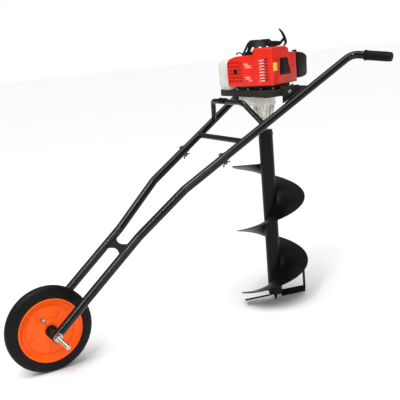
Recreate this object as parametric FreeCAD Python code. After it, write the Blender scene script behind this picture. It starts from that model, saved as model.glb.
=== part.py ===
"""Single-wheel push auger: a petrol power head hangs in a tilting cradle between two bent
frame tubes and drives a 300 mm flighted auger through a two-stage gearbox.

Working frame: X runs from the wheel to the handles, Y is the wheel axle (left is -Y), Z is up,
with the wheel's contact point at the origin. The solids are moved by SHIFT at export, so that
the row's origin is the bottom centre of the whole object's box.
"""
import FreeCAD, Part
import math
import os
from FreeCAD import Vector as V

# ---------------------------------------------------------------- driving dimensions (mm, degrees)
# wheel
TYRE_R, TYRE_W = 165.0, 54.0
RIM_R, RIM_WALL = 121.0, 2.5
HUB_R, HUB_LEN = 22.0, 70.0
AXLE_R, THREAD_R, AXLE_OVERHANG = 8.0, 7.8, 108.0
RIM_BOLTS, RIM_BOLT_PCR, RIM_BOLT_R = 5, 34.0, 3.0
VALVE_R, VALVE_PCR, VALVE_ANGLE = 4.0, 54.0, -116.5
# frame tubes: three straight runs in side view, then an outward handle
TUBE_R, TUBE_WALL = 16.7, 1.2
UPPER_R, UPPER_WALL = 15.4, 1.8
RUN_A, RUN_B, RUN_C = 463.9, 243.3, 862.8
RISE_AB, RISE_C = 39.0, 30.3
HALF_AXLE, HALF_BEND, HALF_TOP = 87.0, 130.0, 250.5
TUBE_TAIL = 20.0
BEND_R = 70.0
HANDLE_LEN, HANDLE_OUT, HANDLE_DROP, HANDLE_BEND_R = 165.0, 70.0, 18.5, 45.0
GRIP_LEN, GRIP_WALL = 108.0, 3.0
# stations measured along a run in side view
BRIDGE_AT, JOINT_AT, CROSS_AT, YOKE_AT = 395.5, 207.4, 294.5, 397.7
JOINT_LAP, SCREW_BACK = 70.0, 18.0
CROSS_R, YOKE_R, SMALL_TUBE_WALL = 11.2, 10.6, 1.6
YOKE_LEAN, YOKE_RISE, YOKE_HALF, YOKE_BEND_R = -43.0, 90.0, 110.0, 34.0
# cradle and its pivots
AUGER_X, PIVOT_Z = 1027.6, 925.0
CRADLE_X, CRADLE_HALF, CRADLE_H, CRADLE_T = 200.0, 168.0, 28.0, 4.0
PIVOT_R, PIVOT_FLATS, BRACKET_T, BRACKET_GAP = 5.0, 16.0, 6.0, 4.0
# gearbox
MODULE, PINION_Z, WHEEL_Z, BACKLASH = 1.4, 12, 60, 0.35
LAY_ANGLE = 140.0
GEAR1_Z0, GEAR1_W = 903.0, 9.0
GEAR2_Z0, GEAR2_W = 883.0, 13.0
CASE_WALL, CASE_FLANGE, CASE_Z0, CASE_Z1 = 5.0, 5.0, 870.0, 927.0
NECK_Z0, NECK_R0, NECK_R1 = 806.0, 27.0, 38.0
BEARING_R, BEARING_B = 21.0, 12.0
CASE_BOLT_R = 3.0
SHAFT_R = 10.0
# engine, square to itself and turned about the crank axis
ENGINE_TURN = 20.0
COVER_X0, COVER_X1, COVER_Y0, COVER_Y1 = -130.0, 48.0, -140.0, 79.0
COVER_Z0, COVER_Z1, COVER_WALL = 956.0, 1076.0, 3.0
COVER_FALL, COVER_FALL_W = 14.0, 22.0
BLOCK_Z1, BLOCK_X1, BLOCK_Y1 = 1102.0, 0.0, -50.0
TANK_X0, TANK_X1, TANK_Y1, TANK_Z0, TANK_Z1, TANK_R = -112.0, 92.0, 147.0, 945.0, 1062.0, 22.0
FILTER_X0, FILTER_X1, FILTER_Y0, FILTER_Y1 = 77.2, 156.0, -126.0, -10.0
FILTER_Z0, FILTER_Z1 = 968.0, 1072.0
CRANK_R, BORE_R = 9.0, 22.0
CYL_Z = 1018.0
OUTLET_Y, OUTLET_Z = 38.0, 1014.0
DOME_R0, DOME_R1, DOME_Z1, DOME_WALL, DOME_SLOTS = 74.0, 48.0, 1131.0, 3.0, 12
REEL_R, ROPE_R, ROPE_Z = 30.0, 2.0, 1112.0
GRIP_AT, GRIP_STEM, BOW_R = 110.0, 30.0, 12.0
CARB_X0, CARB_X1, CARB_Y, CARB_Z1 = 52.2, 77.0, -64.0, 1042.0
CAP_X, CHOKE_Z, PRIMER_TRAVEL = 60.0, 1048.0, 4.0
# auger
AUGER_TUBE_R, AUGER_TUBE_WALL, AUGER_TOP, AUGER_BASE = 30.0, 3.0, 762.0, 34.0
FLIGHT_R, FLIGHT_T, PITCH, FLIGHT_TOP, FLIGHT_TURNS = 150.0, 4.0, 285.0, 619.0, 2.0
FLIGHT_ANGLE = 150.7
PIN_R, PIN_Z = 4.0, 742.0
BLADE_T, BLADE_W, BLADE_Z, BLADE_ANGLE = 6.0, 34.0, 24.0, 168.0
# fits
RUN = 0.05       # running fit, radial
SLIP = 0.4       # loose gap between parts of different bodies
SEAT = 0.02      # close seat between parts of one body

Z = V(0, 0, 1)
Y = V(0, 1, 0)
X = V(1, 0, 0)


# ---------------------------------------------------------------- small helpers
def rod(start, direction, radius, length):
    return Part.makeCylinder(radius, length, start, direction)


def ring(start, direction, outer, inner, length):
    return rod(start, direction, outer, length).cut(rod(start, direction, inner, length))


def between(a, b, radius):
    return rod(a, b - a, radius, (b - a).Length)


def box(x0, x1, y0, y1, z0, z1):
    return Part.makeBox(x1 - x0, y1 - y0, z1 - z0, V(x0, y0, z0))


def prism(points, direction):
    """A flat outline, given as points, pushed along a vector."""
    return Part.Face(Part.makePolygon(points + [points[0]])).extrude(direction)


def lathe(profile, start=V(0, 0, 0), axis=Z):
    """A solid turned from (radius, height) points about Z, then placed along an axis."""
    face = Part.Face(Part.makePolygon([V(r, 0, h) for r, h in profile + [profile[0]]]))
    solid = face.revolve(V(0, 0, 0), Z, 360)
    solid.Placement = FreeCAD.Placement(start, FreeCAD.Rotation(Z, axis))
    return solid


def slab(x0, x1, y0, y1, z0, z1, radius):
    """A block with its four upright edges rounded."""
    block = box(x0, x1, y0, y1, z0, z1)
    upright = [e for e in block.Edges if abs(e.Vertexes[0].Z - e.Vertexes[1].Z) > 1]
    return block.makeFillet(radius, upright)


def hexagon(start, direction, flats, length):
    corner = flats / math.sqrt(3)
    points = [V(corner * math.cos(math.radians(60 * i)), corner * math.sin(math.radians(60 * i)), 0)
              for i in range(6)]
    solid = prism(points, V(0, 0, length))
    solid.Placement = FreeCAD.Placement(start, FreeCAD.Rotation(Z, direction))
    return solid


def turned(shape, angle, centre=V(0, 0, 0), axis=Z):
    copy = shape.copy()
    copy.rotate(centre, axis, angle)
    return copy


def around(shape, count, centre=V(0, 0, 0), axis=Z):
    return [turned(shape, 360.0 * i / count, centre, axis) for i in range(count)]


def union(shapes):
    return shapes[0].multiFuse(shapes[1:]) if len(shapes) > 1 else shapes[0]


def mirrored(shape):
    return shape.mirror(V(0, 0, 0), Y)


def route(points, radii):
    """Straight runs joined by tangent arcs, as one wire."""
    edges, last = [], points[0]
    for i in range(1, len(points) - 1):
        before = (points[i - 1] - points[i]).normalize()
        after = (points[i + 1] - points[i]).normalize()
        half = before.getAngle(after) / 2
        reach = radii[i - 1] / math.tan(half)
        start, end = points[i] + before * reach, points[i] + after * reach
        inward = (before + after).normalize()
        middle = points[i] + inward * (radii[i - 1] / math.sin(half) - radii[i - 1])
        edges += [Part.LineSegment(last, start).toShape(), Part.Arc(start, middle, end).toShape()]
        last = end
    edges.append(Part.LineSegment(last, points[-1]).toShape())
    return Part.Wire(edges)


def bar(points, radii, radius):
    """A round bar along a route."""
    path = route(points, radii)
    start = points[0]
    circle = Part.Wire(Part.Circle(start, points[1] - start, radius).toShape())
    return Part.Solid(path.makePipeShell([circle], True, False))


def pipe(points, radii, outer, wall):
    return bar(points, radii, outer).cut(bar(points, radii, outer - wall))


def gear(teeth, width, bore, z0, phase):
    """A spur gear with straight-flanked teeth thinned for backlash; phase turns it."""
    pitch_r = MODULE * teeth / 2
    tip, root = pitch_r + 0.9 * MODULE, pitch_r - 1.2 * MODULE
    half = math.pi / (2 * teeth) - BACKLASH / (2 * pitch_r)
    lean = math.tan(math.radians(20)) * MODULE / pitch_r
    tooth = [(root, half + 1.2 * lean), (pitch_r, half), (tip, half - 0.95 * lean)]
    flank = [(r, -a) for r, a in tooth] + [(r, a) for r, a in reversed(tooth)]
    points = []
    for i in range(teeth):
        turn = 2 * math.pi * i / teeth + math.radians(phase)
        points += [V(r * math.cos(a + turn), r * math.sin(a + turn), z0) for r, a in flank]
    return prism(points, V(0, 0, width)).cut(rod(V(0, 0, z0), Z, bore, width))


# ---------------------------------------------------------------- frame stations
def along(start, run, rise, half_y):
    return V(start.x + run * math.cos(math.radians(rise)), half_y,
             start.z + run * math.sin(math.radians(rise)))


AXLE = V(0, HALF_AXLE, TYRE_R)
BEND_1 = along(AXLE, RUN_A, RISE_AB, HALF_AXLE)
BEND_2 = along(BEND_1, RUN_B, RISE_AB, HALF_BEND)
BEND_3 = along(BEND_2, RUN_C, RISE_C, HALF_TOP)
HANDLE = V(math.cos(math.radians(HANDLE_OUT)), math.sin(math.radians(HANDLE_OUT)), 0) * HANDLE_LEN
HANDLE_END = BEND_3 + HANDLE - V(0, 0, HANDLE_DROP)
AUGER = V(AUGER_X, 0, 0)
HANDLE_BACK = (BEND_3 - HANDLE_END).normalize()
GRIP_R = UPPER_R + GRIP_WALL
FRONT_X = HANDLE_END.x - GRIP_WALL * HANDLE_BACK.x + GRIP_R * math.sqrt(1 - HANDLE_BACK.x ** 2)
SHIFT = V((TYRE_R - FRONT_X) / 2, 0, 0)


def on_arm(station):
    """A point of the left-hand (+Y) arm's upper run, by its distance from bend 2."""
    return BEND_2 + (BEND_3 - BEND_2) * (station / RUN_C)


ARM = (BEND_3 - BEND_2).normalize()
ARM_UP = (Y.cross(ARM) * -1).normalize()
CRADLE_TOP = PIVOT_Z + CRADLE_H / 2
CRADLE_UNDER = CRADLE_TOP - CRADLE_T
nodes = {}


def pair(name, shape):
    """One node for each side: the shape is given for +Y, the operator's right."""
    nodes["right_" + name] = shape
    nodes["left_" + name] = mirrored(shape)


def both(shape):
    return Part.makeCompound([shape, mirrored(shape)])


def posed(shape):
    """Engine parts are drawn square about the crank axis, then turned and set over the auger."""
    return turned(shape, ENGINE_TURN).translated(AUGER)


def over(shape):
    return shape.translated(AUGER)


# ---------------------------------------------------------------- frame
def lower_tube():
    tail = AXLE - (BEND_1 - AXLE).normalize() * TUBE_TAIL
    tube = pipe([tail, BEND_1, BEND_2, on_arm(JOINT_AT)], [BEND_R, BEND_R], TUBE_R, TUBE_WALL)
    return tube.cut(rod(AXLE - Y * 40, Y, AXLE_R + SEAT, 80)).cut(joint_hole())


def joint_hole():
    return rod(on_arm(JOINT_AT - SCREW_BACK) - ARM_UP * 40, ARM_UP, 4 + SEAT, 80)


def handlebar():
    bar_points = [on_arm(JOINT_AT - JOINT_LAP), BEND_3, HANDLE_END]
    return pipe(bar_points, [HANDLE_BEND_R], UPPER_R, UPPER_WALL).cut(joint_hole())


def grip():
    back, outer = HANDLE_BACK, GRIP_R
    sleeve = ring(HANDLE_END, back, outer, UPPER_R + SEAT, GRIP_LEN)
    cap = rod(HANDLE_END - back * GRIP_WALL, back, outer, GRIP_WALL)
    ribs = [ring(HANDLE_END + back * (12 + 8 * i), back, outer + 1, outer, 4)
            for i in range(int((GRIP_LEN - 20) / 8))]
    return union([sleeve, cap] + ribs)


def bridge():
    """A flat plate between the lower tubes, its long edges hollowed by arcs."""
    centre = AXLE + (BEND_1 - AXLE) * (BRIDGE_AT / RUN_A)
    centre.y = 0
    direction = (BEND_1 - AXLE).normalize()
    normal = direction.cross(Y).normalize()
    half, long, waist = HALF_AXLE - TUBE_R, 34.0, 13.0
    corner = [centre + Y * (sy * half) + direction * (sx * long) for sx, sy in
              ((-1, -1), (1, -1), (1, 1), (-1, 1))]
    middle = [centre + direction * (waist * s) for s in (1, -1)]
    edges = [Part.LineSegment(corner[0], corner[1]), Part.Arc(corner[1], middle[0], corner[2]),
             Part.LineSegment(corner[2], corner[3]), Part.Arc(corner[3], middle[1], corner[0])]
    face = Part.Face(Part.Wire([e.toShape() for e in edges]))
    return face.extrude(normal * 4).translated(normal * -2)


def between_arms(shape, radius):
    """Trims a cross piece to meet the round arms."""
    for s in (1, -1):
        a, b = BEND_2, BEND_3
        shape = shape.cut(between(V(a.x, s * a.y, a.z), V(b.x, s * b.y, b.z), radius))
    return shape


def cross_tube():
    end = on_arm(CROSS_AT)
    other = V(end.x, -end.y, end.z)
    tube = between(other, end, CROSS_R).cut(between(other, end, CROSS_R - SMALL_TUBE_WALL))
    return between_arms(tube, UPPER_R)


def yoke():
    foot = on_arm(YOKE_AT)
    top = V(foot.x + YOKE_LEAN, YOKE_HALF, foot.z + YOKE_RISE)
    points = [foot, top, V(top.x, -top.y, top.z), V(foot.x, -foot.y, foot.z)]
    return between_arms(pipe(points, [YOKE_BEND_R] * 2, YOKE_R, SMALL_TUBE_WALL), UPPER_R)


def yoke_pad():
    """A rubber buffer clipped over the yoke's top bar."""
    foot = on_arm(YOKE_AT)
    start = V(foot.x + YOKE_LEAN, 10, foot.z + YOKE_RISE)
    pad = ring(start, Y, YOKE_R + 4, YOKE_R + SEAT, 44)
    return pad.cut(box(start.x - 40, start.x + 40, 0, 60, start.z - 40, start.z - 4))


def joint_screw():
    middle = on_arm(JOINT_AT - SCREW_BACK)
    shank = rod(middle - ARM_UP * (TUBE_R + 11), ARM_UP, 4, 2 * TUBE_R + 11)
    head = rod(middle + ARM_UP * TUBE_R, ARM_UP, 8, 5)
    return shank.fuse(head)


def wing_nut():
    middle = on_arm(JOINT_AT - SCREW_BACK)
    seat = middle - ARM_UP * (TUBE_R + 7)
    boss = ring(seat, ARM_UP, 7, 4 + SEAT, 7)
    wings = []
    for s in (1, -1):
        root = seat + ARM * (6.5 * s)
        outline = [root, root + ARM_UP * 6, root + ARM * (11 * s) - ARM_UP * 2,
                   root + ARM * (10 * s) - ARM_UP * 8]
        wings.append(prism([p - Y * 1.5 for p in outline], Y * 3))
    return union([boss] + wings)


PIVOT = V(AUGER_X, 0, PIVOT_Z)
EAR_Y = CRADLE_HALF + BRACKET_GAP


def pivot_bracket():
    """An upright ear beside the cradle, on a stand-off welded to the arm."""
    def arm_z(x):
        return BEND_2.z + (x - BEND_2.x) * math.tan(math.radians(RISE_C))
    x0, x1, x2, top = AUGER_X - 30, AUGER_X + 50, AUGER_X + 66, CRADLE_TOP + 9
    ear = prism([V(x0, EAR_Y, arm_z(x0) + 12), V(x0, EAR_Y, top), V(x1, EAR_Y, top),
                 V(x2, EAR_Y, arm_z(x2))], Y * BRACKET_T)
    near = EAR_Y + BRACKET_T
    block = prism([V(x0 + 8, near, arm_z(x0 + 8) - 8), V(x0 + 8, near, arm_z(x0 + 8) + 9),
                   V(x2 - 8, near, arm_z(x2 - 8) + 9), V(x2 - 8, near, arm_z(x2 - 8) - 8)], Y * 34)
    shape = between_arms(ear.fuse(block), UPPER_R)
    shape = max(shape.Solids, key=lambda s: s.Volume)
    return shape.cut(rod(V(AUGER_X, 0, PIVOT_Z), Y, PIVOT_R + SEAT, 300))


def pivot_bolt():
    inner = CRADLE_HALF - CRADLE_T - 14
    shank = rod(V(AUGER_X, inner, PIVOT_Z), Y, PIVOT_R, EAR_Y + BRACKET_T - inner)
    return shank.fuse(hexagon(V(AUGER_X, EAR_Y + BRACKET_T, PIVOT_Z), Y, PIVOT_FLATS, 6.5))


def pivot_nut():
    inner = CRADLE_HALF - CRADLE_T - 10
    nut = hexagon(V(AUGER_X, inner, PIVOT_Z), Y, PIVOT_FLATS, 8)
    return nut.cut(rod(V(AUGER_X, inner, PIVOT_Z), Y, PIVOT_R + SEAT, 8))


def frame_parts():
    pair("frame_tube", lower_tube())
    pair("handlebar", handlebar())
    nodes["grips"] = both(grip())
    nodes["fork_bridge"] = bridge()
    nodes["cross_tube"] = cross_tube()
    nodes["rest_yoke"] = yoke()
    nodes["yoke_pad"] = yoke_pad()
    nodes["wing_screws"] = Part.makeCompound([both(joint_screw()), both(wing_nut())])
    nodes["pivot_brackets"] = both(pivot_bracket())
    nodes["pivot_bolts"] = Part.makeCompound([both(pivot_bolt()), both(pivot_nut())])


# ---------------------------------------------------------------- wheel
def wheel_parts():
    centre = V(0, 0, TYRE_R)
    outside = HALF_AXLE + TUBE_R
    head_y, nut_h = outside, 13.0
    plain_y = -outside - nut_h - 1
    axle = rod(V(0, plain_y, TYRE_R), Y, AXLE_R, outside - plain_y)
    axle = axle.fuse(rod(V(0, -outside - AXLE_OVERHANG, TYRE_R), Y, THREAD_R,
                         AXLE_OVERHANG + outside + plain_y))
    axle = axle.fuse(hexagon(V(0, head_y, TYRE_R), Y, 24, 10))
    nut = hexagon(V(0, -outside - nut_h, TYRE_R), Y, 24, nut_h)
    nut = nut.cut(rod(V(0, -outside - nut_h, TYRE_R), Y, AXLE_R + SEAT, nut_h))
    nodes["axle_bolt"] = Part.makeCompound([axle, nut])
    spacer_len = HALF_AXLE - TUBE_R - HUB_LEN / 2 - SLIP
    nodes["axle_spacers"] = both(ring(V(0, HUB_LEN / 2 + SLIP, TYRE_R), Y, 14, AXLE_R + SEAT,
                                      spacer_len))
    bearing_r, bearing_b = 16.0, 11.0
    hub = ring(V(0, -HUB_LEN / 2, TYRE_R), Y, HUB_R, AXLE_R + 3, HUB_LEN)
    seat = rod(V(0, HUB_LEN / 2 - bearing_b, TYRE_R), Y, bearing_r + SEAT, bearing_b)
    flange = ring(V(0, -5, TYRE_R), Y, RIM_BOLT_PCR + 10, HUB_R - 1, 10)
    hub = hub.fuse(flange).cut(seat).cut(mirrored(seat))
    bolt_hole = rod(V(RIM_BOLT_PCR, -20, TYRE_R), Y, RIM_BOLT_R + SEAT, 40)
    holes = around(bolt_hole, RIM_BOLTS, centre, Y)
    nodes["hub"] = union([hub]).cut(Part.makeCompound(holes))
    bearing = ring(V(0, HUB_LEN / 2 - bearing_b, TYRE_R), Y, bearing_r, AXLE_R + RUN, bearing_b)
    nodes["wheel_bearings"] = both(bearing)
    # half rim: hub flange, dished disc, drop seat and rolled lip
    lip_y = TYRE_W / 2 - 3
    profile = [(HUB_R + 1, 5), (52, 5), (74, 10), (98, 8), (106, 6), (112, 10), (114, lip_y - 2),
               (RIM_R, lip_y)]
    back = [(r, h + RIM_WALL) if i < 5 else (r - RIM_WALL, h + 1)
            for i, (r, h) in enumerate(profile)]
    back[0], back[-1] = (HUB_R + 1, 5 + RIM_WALL), (RIM_R - 1, lip_y + RIM_WALL)
    half = lathe(profile + back[::-1], centre, Y).cut(Part.makeCompound(holes))
    valve_hole = rod(V(VALVE_PCR, -40, TYRE_R), Y, VALVE_R + SEAT, 40)
    valve_hole = turned(valve_hole, VALVE_ANGLE, centre, Y)
    nodes["right_rim_half"] = half
    nodes["left_rim_half"] = mirrored(half).cut(valve_hole)
    stem = rod(V(VALVE_PCR, -30, TYRE_R), Y, VALVE_R, 28)
    stem = stem.fuse(rod(V(VALVE_PCR, -36, TYRE_R), Y, VALVE_R + 0.8, 8))
    nodes["valve_stem"] = turned(stem, VALVE_ANGLE, centre, Y)
    bolt = rod(V(RIM_BOLT_PCR, -12, TYRE_R), Y, RIM_BOLT_R, 24)
    bolt = bolt.fuse(hexagon(V(RIM_BOLT_PCR, 5 + RIM_WALL, TYRE_R), Y, 10, 4))
    bolt = bolt.fuse(hexagon(V(RIM_BOLT_PCR, -5 - RIM_WALL - 4, TYRE_R), Y, 10, 4))
    nodes["rim_bolts"] = Part.makeCompound(around(bolt, RIM_BOLTS, centre, Y))
    # hollow tyre, round crowned, seated on the two rim lips
    half_w, wall = TYRE_W / 2, 6.0
    crown = [(115, lip_y - 3), (RIM_R + 0.5, lip_y - 1), (RIM_R + 3, half_w - 1)]
    steps = 12
    depth = TYRE_R - RIM_R - 3
    outer = [(RIM_R + 3 + depth * math.sin(math.pi / 2 * i / steps),
              (half_w - 1) * math.cos(math.pi / 2 * i / steps) ** 0.62) for i in range(1, steps)]
    side = crown + outer
    profile = side + [(TYRE_R, 0)] + [(r, -h) for r, h in reversed(side)]
    body = lathe(profile, centre, Y)
    cave = [(118, lip_y - 9), (RIM_R + 6, half_w - wall - 1),
            (TYRE_R - 16, half_w - wall - 6), (TYRE_R - 8, 8)]
    cavity = lathe(cave + [(r, -h) for r, h in reversed(cave)], centre, Y)
    nodes["tyre"] = body.cut(cavity)


# ---------------------------------------------------------------- cradle and gearbox
LAY = V(math.cos(math.radians(LAY_ANGLE)), math.sin(math.radians(LAY_ANGLE)), 0)
CENTRES = MODULE * (PINION_Z + WHEEL_Z) / 2
GEAR_TIP = MODULE * (WHEEL_Z / 2 + 0.9)


def cradle():
    x, y = CRADLE_X / 2, CRADLE_HALF
    tray = box(-x, x, -y, y, CRADLE_TOP - CRADLE_H, CRADLE_TOP)
    hollow = box(-x + CRADLE_T, x - CRADLE_T, -y + CRADLE_T, y - CRADLE_T,
                 CRADLE_TOP - CRADLE_H, CRADLE_UNDER)
    tray = tray.cut(hollow).cut(rod(V(0, 0, CRADLE_UNDER - 1), Z, 42, CRADLE_T + 2))
    bush_hole = rod(V(0, -y - 1, PIVOT_Z), Y, PIVOT_R + 3 + SEAT, 2 * y + 2)
    return over(tray.cut(bush_hole).cut(case_bolts(SEAT)))


def pivot_bush():
    start = V(AUGER_X, CRADLE_HALF - CRADLE_T, PIVOT_Z)
    sleeve = ring(start, Y, PIVOT_R + 3, PIVOT_R + RUN, CRADLE_T)
    collar = ring(start + Y * CRADLE_T, Y, PIVOT_R + 6, PIVOT_R + RUN, BRACKET_GAP - SLIP)
    return sleeve.fuse(collar)


def case_outline(grow, z0, z1):
    """The gearbox shape in plan: a circle round each gear centre, joined by tangents."""
    radius = GEAR_TIP + 2 + grow
    one = rod(V(0, 0, z0), Z, radius, z1 - z0)
    two = rod(LAY * CENTRES + V(0, 0, z0), Z, radius, z1 - z0)
    side = LAY.cross(Z) * radius
    web = prism([side + V(0, 0, z0), LAY * CENTRES + side + V(0, 0, z0),
                 LAY * CENTRES - side + V(0, 0, z0), side * -1 + V(0, 0, z0)], V(0, 0, z1 - z0))
    return union([one, two, web])


def bolt_spots():
    reach = GEAR_TIP + 2 + CASE_WALL + CASE_BOLT_R
    side = LAY.cross(Z)
    return [side * reach, side * -reach, LAY * -reach, LAY * (CENTRES + reach)]


def case_bolts(clearance):
    """Bolts that hold the gearbox and the clutch housing to the cradle's top plate."""
    return Part.makeCompound([rod(spot + V(0, 0, CASE_Z1 - 12), Z, CASE_BOLT_R + clearance,
                                  CRADLE_TOP - CASE_Z1 + 12) for spot in bolt_spots()])


def case_flange(z0, z1):
    """The gearbox's joint flange, with a boss round each bolt."""
    bosses = [rod(spot + V(0, 0, z0), Z, CASE_BOLT_R + 4, z1 - z0) for spot in bolt_spots()]
    return union([case_outline(CASE_WALL + CASE_FLANGE, z0, z1)] + bosses)


def gearbox_parts():
    inside = case_outline(0, CASE_Z0 + CASE_WALL, CASE_Z1)
    case = case_outline(CASE_WALL, CASE_Z0, CASE_Z1)
    flange = case_flange(CASE_Z1 - 6, CASE_Z1)
    neck = lathe([(0, NECK_Z0), (NECK_R0, NECK_Z0), (NECK_R0, NECK_Z0 + 14),
                  (NECK_R1, CASE_Z0 + 1), (0, CASE_Z0 + 1)])
    ribs = []
    for i in range(6):
        rib = prism([V(24, -2, NECK_Z0 + 16), V(NECK_R0 + 3, -2, NECK_Z0 + 16),
                     V(GEAR_TIP + 2, -2, CASE_Z0 + 1), V(24, -2, CASE_Z0 + 1)], V(0, 4, 0))
        ribs.append(turned(rib, 60 * i))
    outside = union([case, flange, neck] + ribs).cut(inside)
    bore = rod(V(0, 0, NECK_Z0), Z, BEARING_R + SEAT, CASE_Z0 + CASE_WALL - NECK_Z0)
    lay_seat = rod(LAY * CENTRES + V(0, 0, CASE_Z0 + 2), Z, 6 + RUN, 10)
    outside = outside.cut(bore).cut(lay_seat).cut(case_bolts(SEAT))
    nodes["gearbox_case"] = over(outside)
    lid = case_flange(CASE_Z1, CRADLE_UNDER)
    lid = lid.cut(rod(V(0, 0, CASE_Z1), Z, 8 + RUN, 20)).cut(case_bolts(SEAT))
    lid = lid.cut(rod(LAY * CENTRES + V(0, 0, CASE_Z1 - 1), Z, 6 + RUN, 6))
    nodes["gearbox_lid"] = over(lid)
    bolts = [shank.fuse(hexagon(spot + Z * CRADLE_TOP, Z, 10, 5))
             for shank, spot in zip(case_bolts(0).Solids, bolt_spots())]
    nodes["case_bolts"] = over(Part.makeCompound(bolts))
    bearings = [ring(V(0, 0, z), Z, BEARING_R, SHAFT_R + RUN, BEARING_B)
                for z in (NECK_Z0 + 5, CASE_Z0 - BEARING_B)]
    nodes["output_bearings"] = over(Part.makeCompound(bearings))
    nodes["shaft_seal"] = over(ring(V(0, 0, NECK_Z0), Z, BEARING_R, SHAFT_R + RUN, 5))
    nodes["cradle"] = cradle()
    nodes["pivot_bushes"] = both(pivot_bush())


def gear_parts():
    """Clutch pinion, lay gear and output gear; a space of each faces a tooth of its mate."""
    half_space = 180.0 / WHEEL_Z
    drum_z = CRADLE_TOP + 2
    drum = ring(V(0, 0, drum_z), Z, 39, 36, 13).fuse(ring(V(0, 0, drum_z), Z, 38, 6, 3))
    pinion = gear(PINION_Z, GEAR1_W + 3, 3, GEAR1_Z0, LAY_ANGLE)
    shaft = ring(V(0, 0, GEAR1_Z0 + GEAR1_W + 2), Z, 8, 3, drum_z - GEAR1_Z0 - GEAR1_W)
    nodes["clutch_drum"] = over(union([drum, pinion, shaft]))
    lay_gear = gear(WHEEL_Z, GEAR1_W, 5, GEAR1_Z0, LAY_ANGLE + 180 + half_space)
    lay_pinion = gear(PINION_Z, GEAR2_W + 2, 5, GEAR2_Z0 - 1, LAY_ANGLE + 180)
    lay_shaft = rod(V(0, 0, CASE_Z0 + 3), Z, 6, CASE_Z1 + 4 - CASE_Z0 - 3)
    collar = rod(V(0, 0, GEAR2_Z0 + GEAR2_W + 1), Z, 8, GEAR1_Z0 - GEAR2_Z0 - GEAR2_W - 1)
    nodes["lay_gears"] = over(union([lay_gear, lay_pinion, collar, lay_shaft])
                              .translated(LAY * CENTRES))
    output = gear(WHEEL_Z, GEAR2_W, SHAFT_R - 1, GEAR2_Z0, LAY_ANGLE + half_space)
    shaft = rod(V(0, 0, PIN_Z - 30), Z, SHAFT_R, GEAR2_Z0 + GEAR2_W + 2 - PIN_Z + 30)
    shaft = shaft.cut(rod(V(-20, 0, PIN_Z), X, PIN_R + SEAT, 40))
    nodes["output_shaft"] = over(shaft.fuse(output))


# ---------------------------------------------------------------- engine
def vents(cover):
    """Grille in front of the silencer and slanted louvres in front of the cylinder fins."""
    cuts = []
    for row in range(6):
        for column in range(5):
            y, z = 70 - 13.0 * column, 976 + 14.5 * row
            cuts.append(box(COVER_X0 - 1, COVER_X0 + 6, y - 6.5, y, z, z + 10))
    for i in range(8):
        z = 972 + 11.5 * i
        outline = [V(COVER_X0 - 1, -76, z), V(COVER_X0 - 1, -122, z + 6),
                   V(COVER_X0 - 1, -122, z + 11), V(COVER_X0 - 1, -76, z + 5)]
        cuts.append(prism(outline, V(8, 0, 0)))
    cuts.append(rod(V(COVER_X0 - 1, OUTLET_Y, OUTLET_Z), X, 11, 6))
    return cover.cut(Part.makeCompound(cuts))


def shoulder(inset):
    """What the cover's top loses where it falls towards the tank."""
    y, z = COVER_Y1 - inset, COVER_Z1 - inset
    outline = [V(COVER_X0 - 1, y + 1, z - COVER_FALL), V(COVER_X0 - 1, y - COVER_FALL_W, z + 1),
               V(COVER_X0 - 1, y + 1, z + 1)]
    return prism(outline, V(COVER_X1 - COVER_X0 + 3, 0, 0))


def engine_cover():
    dome_room = rod(V(0, 0, COVER_Z1 - 20), Z, DOME_R0 + 2, 60)
    low = slab(COVER_X0, COVER_X1, COVER_Y0, COVER_Y1, COVER_Z0, COVER_Z1, 14)
    low = low.cut(shoulder(0))
    high = slab(COVER_X0, BLOCK_X1, COVER_Y0, BLOCK_Y1, COVER_Z1 - 30, BLOCK_Z1, 14)
    w = COVER_WALL
    low_in = box(COVER_X0 + w, COVER_X1 + 1, COVER_Y0 + w, COVER_Y1 - w, COVER_Z0 - 1, COVER_Z1 - w)
    low_in = low_in.cut(shoulder(w))
    high_in = box(COVER_X0 + w, BLOCK_X1 - w, COVER_Y0 + w, BLOCK_Y1 - w, COVER_Z1 - 30,
                  BLOCK_Z1 - w)
    upper = high.cut(high_in).cut(dome_room)
    room = rod(V(0, 0, COVER_Z1 - 4), Z, DOME_R0 - 6, 8)
    shell = low.cut(low_in).cut(high_in.cut(dome_room)).cut(room)
    shell = shell.fuse(upper.cut(low_in))
    hatch = prism(hatch_outline(0), V(0, 2 * w, 0)).translated(V(0, -w, 0))
    shell = vents(shell).cut(hatch)
    return max(shell.Solids, key=lambda s: s.Volume)


def hatch_outline(inset):
    y = COVER_Y0
    return [V(-77 + inset, y, 992 + inset), V(5 - inset, y, 992 + inset),
            V(-16 - inset, y, 1058 - inset), V(-72 + inset, y, 1058 - inset)]


def crankcase():
    body = slab(-58, 52, -60, 62, COVER_Z0 - 1, 1040, 16)
    cavity = rod(V(0, 0, COVER_Z0 - 2), Z, 44, 30)
    neck = rod(V(0, 0, 1040), Z, 52, COVER_Z1 - 1040)
    bore = rod(V(0, 0, 950), Z, CRANK_R + RUN, 130)
    chamber = rod(V(0, 0, 992), Z, 34, 26)
    fan_room = rod(V(0, 0, 1044), Z, 49, 60)
    cylinder_seat = rod(V(0, -70, CYL_Z), Y, BORE_R + 3 + SEAT, 60)
    body = body.fuse(neck).cut(cavity).cut(bore).cut(chamber).cut(fan_room)
    return body.cut(cylinder_seat)


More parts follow.
